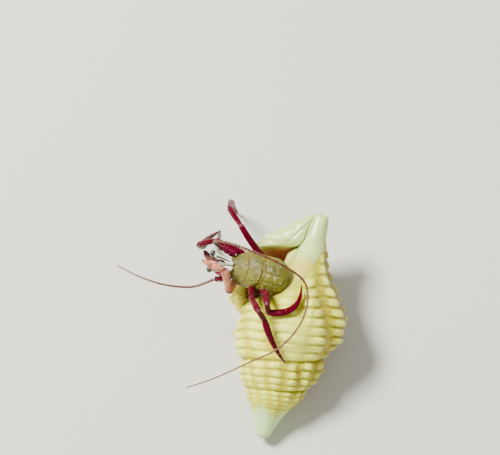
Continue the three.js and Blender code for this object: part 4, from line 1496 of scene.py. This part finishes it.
def model_antenna(side):
    """A long feeler of many short rings that thins to its tip."""
    node = f"antenna_{side}"
    line = tube_line(node, meeting(f"antenna_base_{side}", node))
    length = np.linalg.norm(np.diff(line, axis=0), axis=1).sum()
    steps = int(length / (0.07 * MM))
    path = curve_through(line, steps)
    share = np.linspace(0, 1, steps)
    swell = 1 + 0.12 * np.cos(2 * math.pi * share * length / FEELER_RING)
    piece = tube(f"{node}_flagellum", path, lerp(FEELER_ROOT, FEELER_TIP, share**0.8) * swell)
    along = marked(piece, "along")
    mark(piece, "band", smooth(0.3, 0.9, np.cos(2 * math.pi * along * length / FEELER_BAND)))
    return shade(piece, 80)


def model_antennule(side):
    """A short jointed feeler that ends in a fringed lash and a thinner one."""
    node = f"antennule_{side}"
    body = body_frame()
    sign = 1 if side == "right" else -1
    points = node_points(node)[0]
    start = points[np.argsort((points - body.front) @ body.forward)[:6]].mean(0)
    tip = far_end(node, start, 0.06)
    middle = crossings(node, lerp(start, tip, 0.55), unit(tip - start)).mean(0)
    knee = lerp(start, middle, 0.95) - body.up * 0.1 * MM
    stalk = [start, knee, lerp(middle, tip, 0.55)]
    stem = jointed(f"{node}_feeler", stalk, (0.2, 0.17, 0.13), (0, 0.3, 0.62, 1), 10)

    fork = lerp(middle, tip, 0.52)
    beyond = tip + unit(tip - middle) * 0.5 * MM + body.forward * 0.15 * MM
    upper = [fork, lerp(fork, beyond, 0.5) + body.up * 0.12 * MM, beyond]
    low = fork + body.forward * 0.75 * MM - body.up * 0.05 * MM + body.right * 0.1 * MM * sign
    lower = [fork, lerp(fork, low, 0.5) - body.up * 0.08 * MM, low]
    lash = tube("lash", curve_through(upper, 40), np.linspace(0.1, 0.025, 40) * MM)
    thin = tube("thin_lash", curve_through(lower, 30), np.linspace(0.06, 0.02, 30) * MM, 6)

    hair = spike_master("hair", 0.0, 4)
    fans = [body.forward * math.cos(a) - body.up * 0.6 + body.right * math.sin(a) for a in (-0.7, 0.0, 0.7)]
    spots = curve_through(upper, 26)[5:]
    roots, ways = np.repeat(spots, len(fans), axis=0), np.tile(fans, (len(spots), 1))
    lengths, radii = np.full(len(roots), 0.34 * MM), np.full(len(roots), 0.014 * MM)
    fringe = planted(hair, "fringe", roots, ways, lengths, radii)
    mark(fringe, "along", np.full(len(fringe.data.vertices), 0.9))
    discard(hair)
    return shade(joined(stem.name, [stem, lash, thin, fringe]), 70)


def model_mouthpart(side):
    """A bent jointed palp under the head."""
    node = f"mouthpart_{side}"
    body = body_frame()
    points = node_points(node)[0]
    ahead = (points - body.front) @ body.forward
    start = points[ahead < ahead.min() + 0.2 * MM].mean(0)
    end = points[ahead > ahead.max() - 0.2 * MM].mean(0)
    knee = lerp(start, end, 0.55) - body.up * 0.16 * MM
    tip = end + body.up * 0.12 * MM + body.forward * 0.25 * MM
    piece = jointed(f"{node}_palp", [start, knee, tip], (0.34, 0.31, 0.24), (0, 0.42, 0.74, 1))
    return shade(piece, 70)


# ---- Bristles -----------------------------------------------------------------------------------
BRISTLE_RADIUS = 0.018 * MM


def model_bristles(look):
    """Stiff hairs on the legs, claws, palps and feeler bases."""
    carriers = [piece for piece in bpy.data.objects if piece.name.endswith(("_armour", "_palp"))]
    if not carriers:
        raise RuntimeError("the legs, claws and palps are modelled before the bristles")
    chance = np.random.default_rng(41)
    roots, ways, lengths = [], [], []
    for piece in sorted(carriers, key=lambda piece: piece.name):
        points, outward = coordinates(piece), normals(piece)
        along = marked(piece, "along")
        count = look.bristles * (2 if piece.name.endswith("_palp") else 1)
        lean = np.zeros(3)
        if (along < 0.12).any():
            lean = unit(points[along > 0.9].mean(0) - points[along < 0.12].mean(0))
        pool = np.flatnonzero((along > 0.12) & (along < 0.97) & (marked(piece, "horn") < 0.3))
        weight = 0.15 + along[pool] ** 2
        for pick in chance.choice(pool, count, replace=False, p=weight / weight.sum()):
            roots.append(points[pick] - outward[pick] * 0.02 * MM)
            ways.append(outward[pick] * 0.7 + lean * chance.uniform(0.5, 1.1) + chance.normal(0, 0.12, 3))
            lengths.append(look.bristle_length * chance.uniform(0.35, 1.0))
    bristle = spike_master("bristle", 2.5, 5)
    mark(bristle, "along", coordinates(bristle)[:, 2])
    piece = planted(bristle, "bristles", roots, ways, lengths, np.full(len(roots), BRISTLE_RADIUS))
    discard(bristle)
    return shade(lift_off_floor(piece), 70)


# ---- The stage ----------------------------------------------------------------------------------
MOUTH_VIEW = (7.16, 0, 25.4)  # where the camera looks, in the shell's frame
SENSOR_WIDTH = 36
FLOOR_WIDTH = 3


def area_light(name, place, aim, size, power, colour):
    """A round soft light at a place, turned to its aim."""
    light = bpy.data.lights.new(name, "AREA")
    light.shape, light.size, light.energy, light.color = "DISK", size, power, colour
    lamp = bpy.data.objects.new(name, light)
    bpy.context.scene.collection.objects.link(lamp)
    lamp.location = place
    lamp.rotation_euler = (Vector(aim) - Vector(place)).to_track_quat("-Z", "Y").to_euler()
    return lamp


def build_stage(look):
    """The plain floor, the camera over the shell's mouth, and soft light."""
    deselect()
    bpy.ops.mesh.primitive_plane_add(size=FLOOR_WIDTH)
    floor = named(bpy.context.object, "floor")
    floor.data.materials.append(floor_finish(look))

    aim = placed(*MOUTH_VIEW)
    camera = bpy.data.cameras.new("camera")
    camera.lens, camera.sensor_width = look.lens, SENSOR_WIDTH
    camera.clip_start, camera.clip_end = 0.01, 10
    viewer = bpy.data.objects.new("camera", camera)
    bpy.context.scene.collection.objects.link(viewer)
    viewer.location = aim + OUT_OF_MOUTH * look.distance
    viewer.rotation_euler = Vector(-OUT_OF_MOUTH).to_track_quat("-Z", "Y").to_euler()
    bpy.context.scene.camera = viewer

    middle = (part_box("shell")[0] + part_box("shell")[1]) / 2
    area_light("key", middle + Vector((-0.2, 0.1, 0.34)), middle, 0.13, look.key, (1, 0.99, 0.93))
    area_light("fill", middle + Vector((0.25, -0.25, 0.25)), middle, 0.3, look.fill, (0.95, 0.98, 1))

    world = bpy.data.worlds.new("studio")
    world.use_nodes = True
    world.node_tree.nodes["Background"].inputs["Color"].default_value = (0.95, 0.96, 0.92, 1)
    world.node_tree.nodes["Background"].inputs["Strength"].default_value = look.surround
    bpy.context.scene.world = world


# ---- Operators ----------------------------------------------------------------------------------
class HERMIT_OT_shell(bpy.types.Operator):
    """Model the ribbed snail shell"""

    bl_idname = "hermit.shell"
    bl_label = "Shell"

    def execute(self, context):
        look = context.scene.hermit_shell
        deliver(model_shell(look), shell_finish(look), "shell", "shell")
        return {"FINISHED"}


class HERMIT_OT_body(bpy.types.Operator):
    """Model the soft body as one skin, and the soft joints of the limbs"""

    bl_idname = "hermit.body"
    bl_label = "Body"

    def execute(self, context):
        look = context.scene.hermit_body
        skin = skin_finish("soft translucent skin", look.skin, look.skin_dark)
        deliver(model_body(), skin, "flesh", "thorax", "abdomen")
        soft = skin_finish("joint skin", look.joint, look.joint_dark)
        deliver(model_membranes(), soft, "flesh")
        return {"FINISHED"}


class HERMIT_OT_shield(bpy.types.Operator):
    """Model the hard shield behind the eyes"""

    bl_idname = "hermit.shield"
    bl_label = "Shield"

    def execute(self, context):
        deliver(model_shield(), shield_finish(context.scene.hermit_body), "shield", "shield")
        return {"FINISHED"}


class HERMIT_OT_legs(bpy.types.Operator):
    """Model the four walking legs"""

    bl_idname = "hermit.legs"
    bl_label = "Walking legs"

    def execute(self, context):
        look = context.scene.hermit_limbs
        finish = armour_finish(look, "leg armour", look.armour, look.armour_light)
        for piece in model_legs():
            deliver(piece, finish, "armour", piece.name.removesuffix("_armour"))
        return {"FINISHED"}


class HERMIT_OT_claws(bpy.types.Operator):
    """Model the two claws and their arms"""

    bl_idname = "hermit.claws"
    bl_label = "Claws"

    def execute(self, context):
        look = context.scene.hermit_limbs
        right = armour_finish(look, "large claw armour", look.claw, look.claw_light)
        left = armour_finish(look, "small claw armour", look.claw_pale, look.claw_pale_light)
        for claw, finish, seed in (("claw_right", right, 11), ("claw_left", left, 23)):
            for piece in model_claw(claw, seed):
                node = piece.name.removesuffix("_armour")
                slot = "claw" if node.endswith(("palm", "finger")) else "armour"
                deliver(piece, finish, slot, node)
        return {"FINISHED"}


class HERMIT_OT_eyes(bpy.types.Operator):
    """Model the eyes on their stalks"""

    bl_idname = "hermit.eyes"
    bl_label = "Eyes"

    def execute(self, context):
        look = context.scene.hermit_body
        stalk_look, eye_look = eyestalk_finish(look), eye_finish(look)
        for side in SIDES:
            stalk, eye = model_eye(side)
            deliver(stalk, stalk_look, "eyestalk", f"eyestalk_{side}")
            deliver(eye, eye_look, "eye", f"eye_{side}")
        return {"FINISHED"}


class HERMIT_OT_feelers(bpy.types.Operator):
    """Model the long and the short feelers"""

    bl_idname = "hermit.feelers"
    bl_label = "Feelers"

    def execute(self, context):
        limbs = context.scene.hermit_limbs
        base_look = armour_finish(limbs, "feeler base armour", limbs.claw, limbs.claw_light)
        lash_look = feeler_finish(context.scene.hermit_body)
        for side in SIDES:
            deliver(model_antenna_base(side), base_look, "armour", f"antenna_base_{side}")
            deliver(model_antenna(side), lash_look, "feeler", f"antenna_{side}")
            deliver(model_antennule(side), lash_look, "feeler", f"antennule_{side}")
        return {"FINISHED"}


class HERMIT_OT_mouthparts(bpy.types.Operator):
    """Model the palps under the head"""

    bl_idname = "hermit.mouthparts"
    bl_label = "Mouthparts"

    def execute(self, context):
        look = context.scene.hermit_limbs
        finish = armour_finish(look, "palp armour", look.claw_pale, look.claw_pale_light)
        for side in SIDES:
            deliver(model_mouthpart(side), finish, "claw", f"mouthpart_{side}")
        return {"FINISHED"}


class HERMIT_OT_bristles(bpy.types.Operator):
    """Grow the bristles on the limbs"""

    bl_idname = "hermit.bristles"
    bl_label = "Bristles"

    def execute(self, context):
        look = context.scene.hermit_limbs
        deliver(model_bristles(look), bristle_finish(look), "armour")
        return {"FINISHED"}


class HERMIT_OT_stage(bpy.types.Operator):
    """Set up the floor, the lights and the camera"""

    bl_idname = "hermit.stage"
    bl_label = "Stage"

    def execute(self, context):
        build_stage(context.scene.hermit_stage)
        return {"FINISHED"}


OPERATORS = (
    HERMIT_OT_shell, HERMIT_OT_body, HERMIT_OT_shield, HERMIT_OT_legs, HERMIT_OT_claws, HERMIT_OT_eyes,
    HERMIT_OT_feelers, HERMIT_OT_mouthparts, HERMIT_OT_bristles, HERMIT_OT_stage,
)


class HERMIT_PT_panel(bpy.types.Panel):
    """The hermit crab's pieces and what can be changed about them"""

    bl_idname = "HERMIT_PT_panel"
    bl_label = "Hermit crab"
    bl_space_type = "VIEW_3D"
    bl_region_type = "UI"
    bl_category = "Hermit crab"

    def draw(self, context):
        for name, kind in SETTINGS.items():
            box = self.layout.box()
            box.label(text=kind.__name__.removesuffix("Settings"))
            for value in kind.__annotations__:
                box.prop(getattr(context.scene, name), value)
        for operator in OPERATORS:
            self.layout.operator(operator.bl_idname)


def register():
    for kind in (*SETTINGS.values(), *OPERATORS, HERMIT_PT_panel):
        bpy.utils.register_class(kind)
    for name, kind in SETTINGS.items():
        setattr(bpy.types.Scene, name, PointerProperty(type=kind))


def unregister():
    for name in SETTINGS:
        delattr(bpy.types.Scene, name)
    for kind in reversed((*SETTINGS.values(), *OPERATORS, HERMIT_PT_panel)):
        bpy.utils.unregister_class(kind)


def main():
    register()
    for operator in OPERATORS:
        group, name = operator.bl_idname.split(".")
        getattr(getattr(bpy.ops, group), name)()


if __name__ == "__main__":
    main()
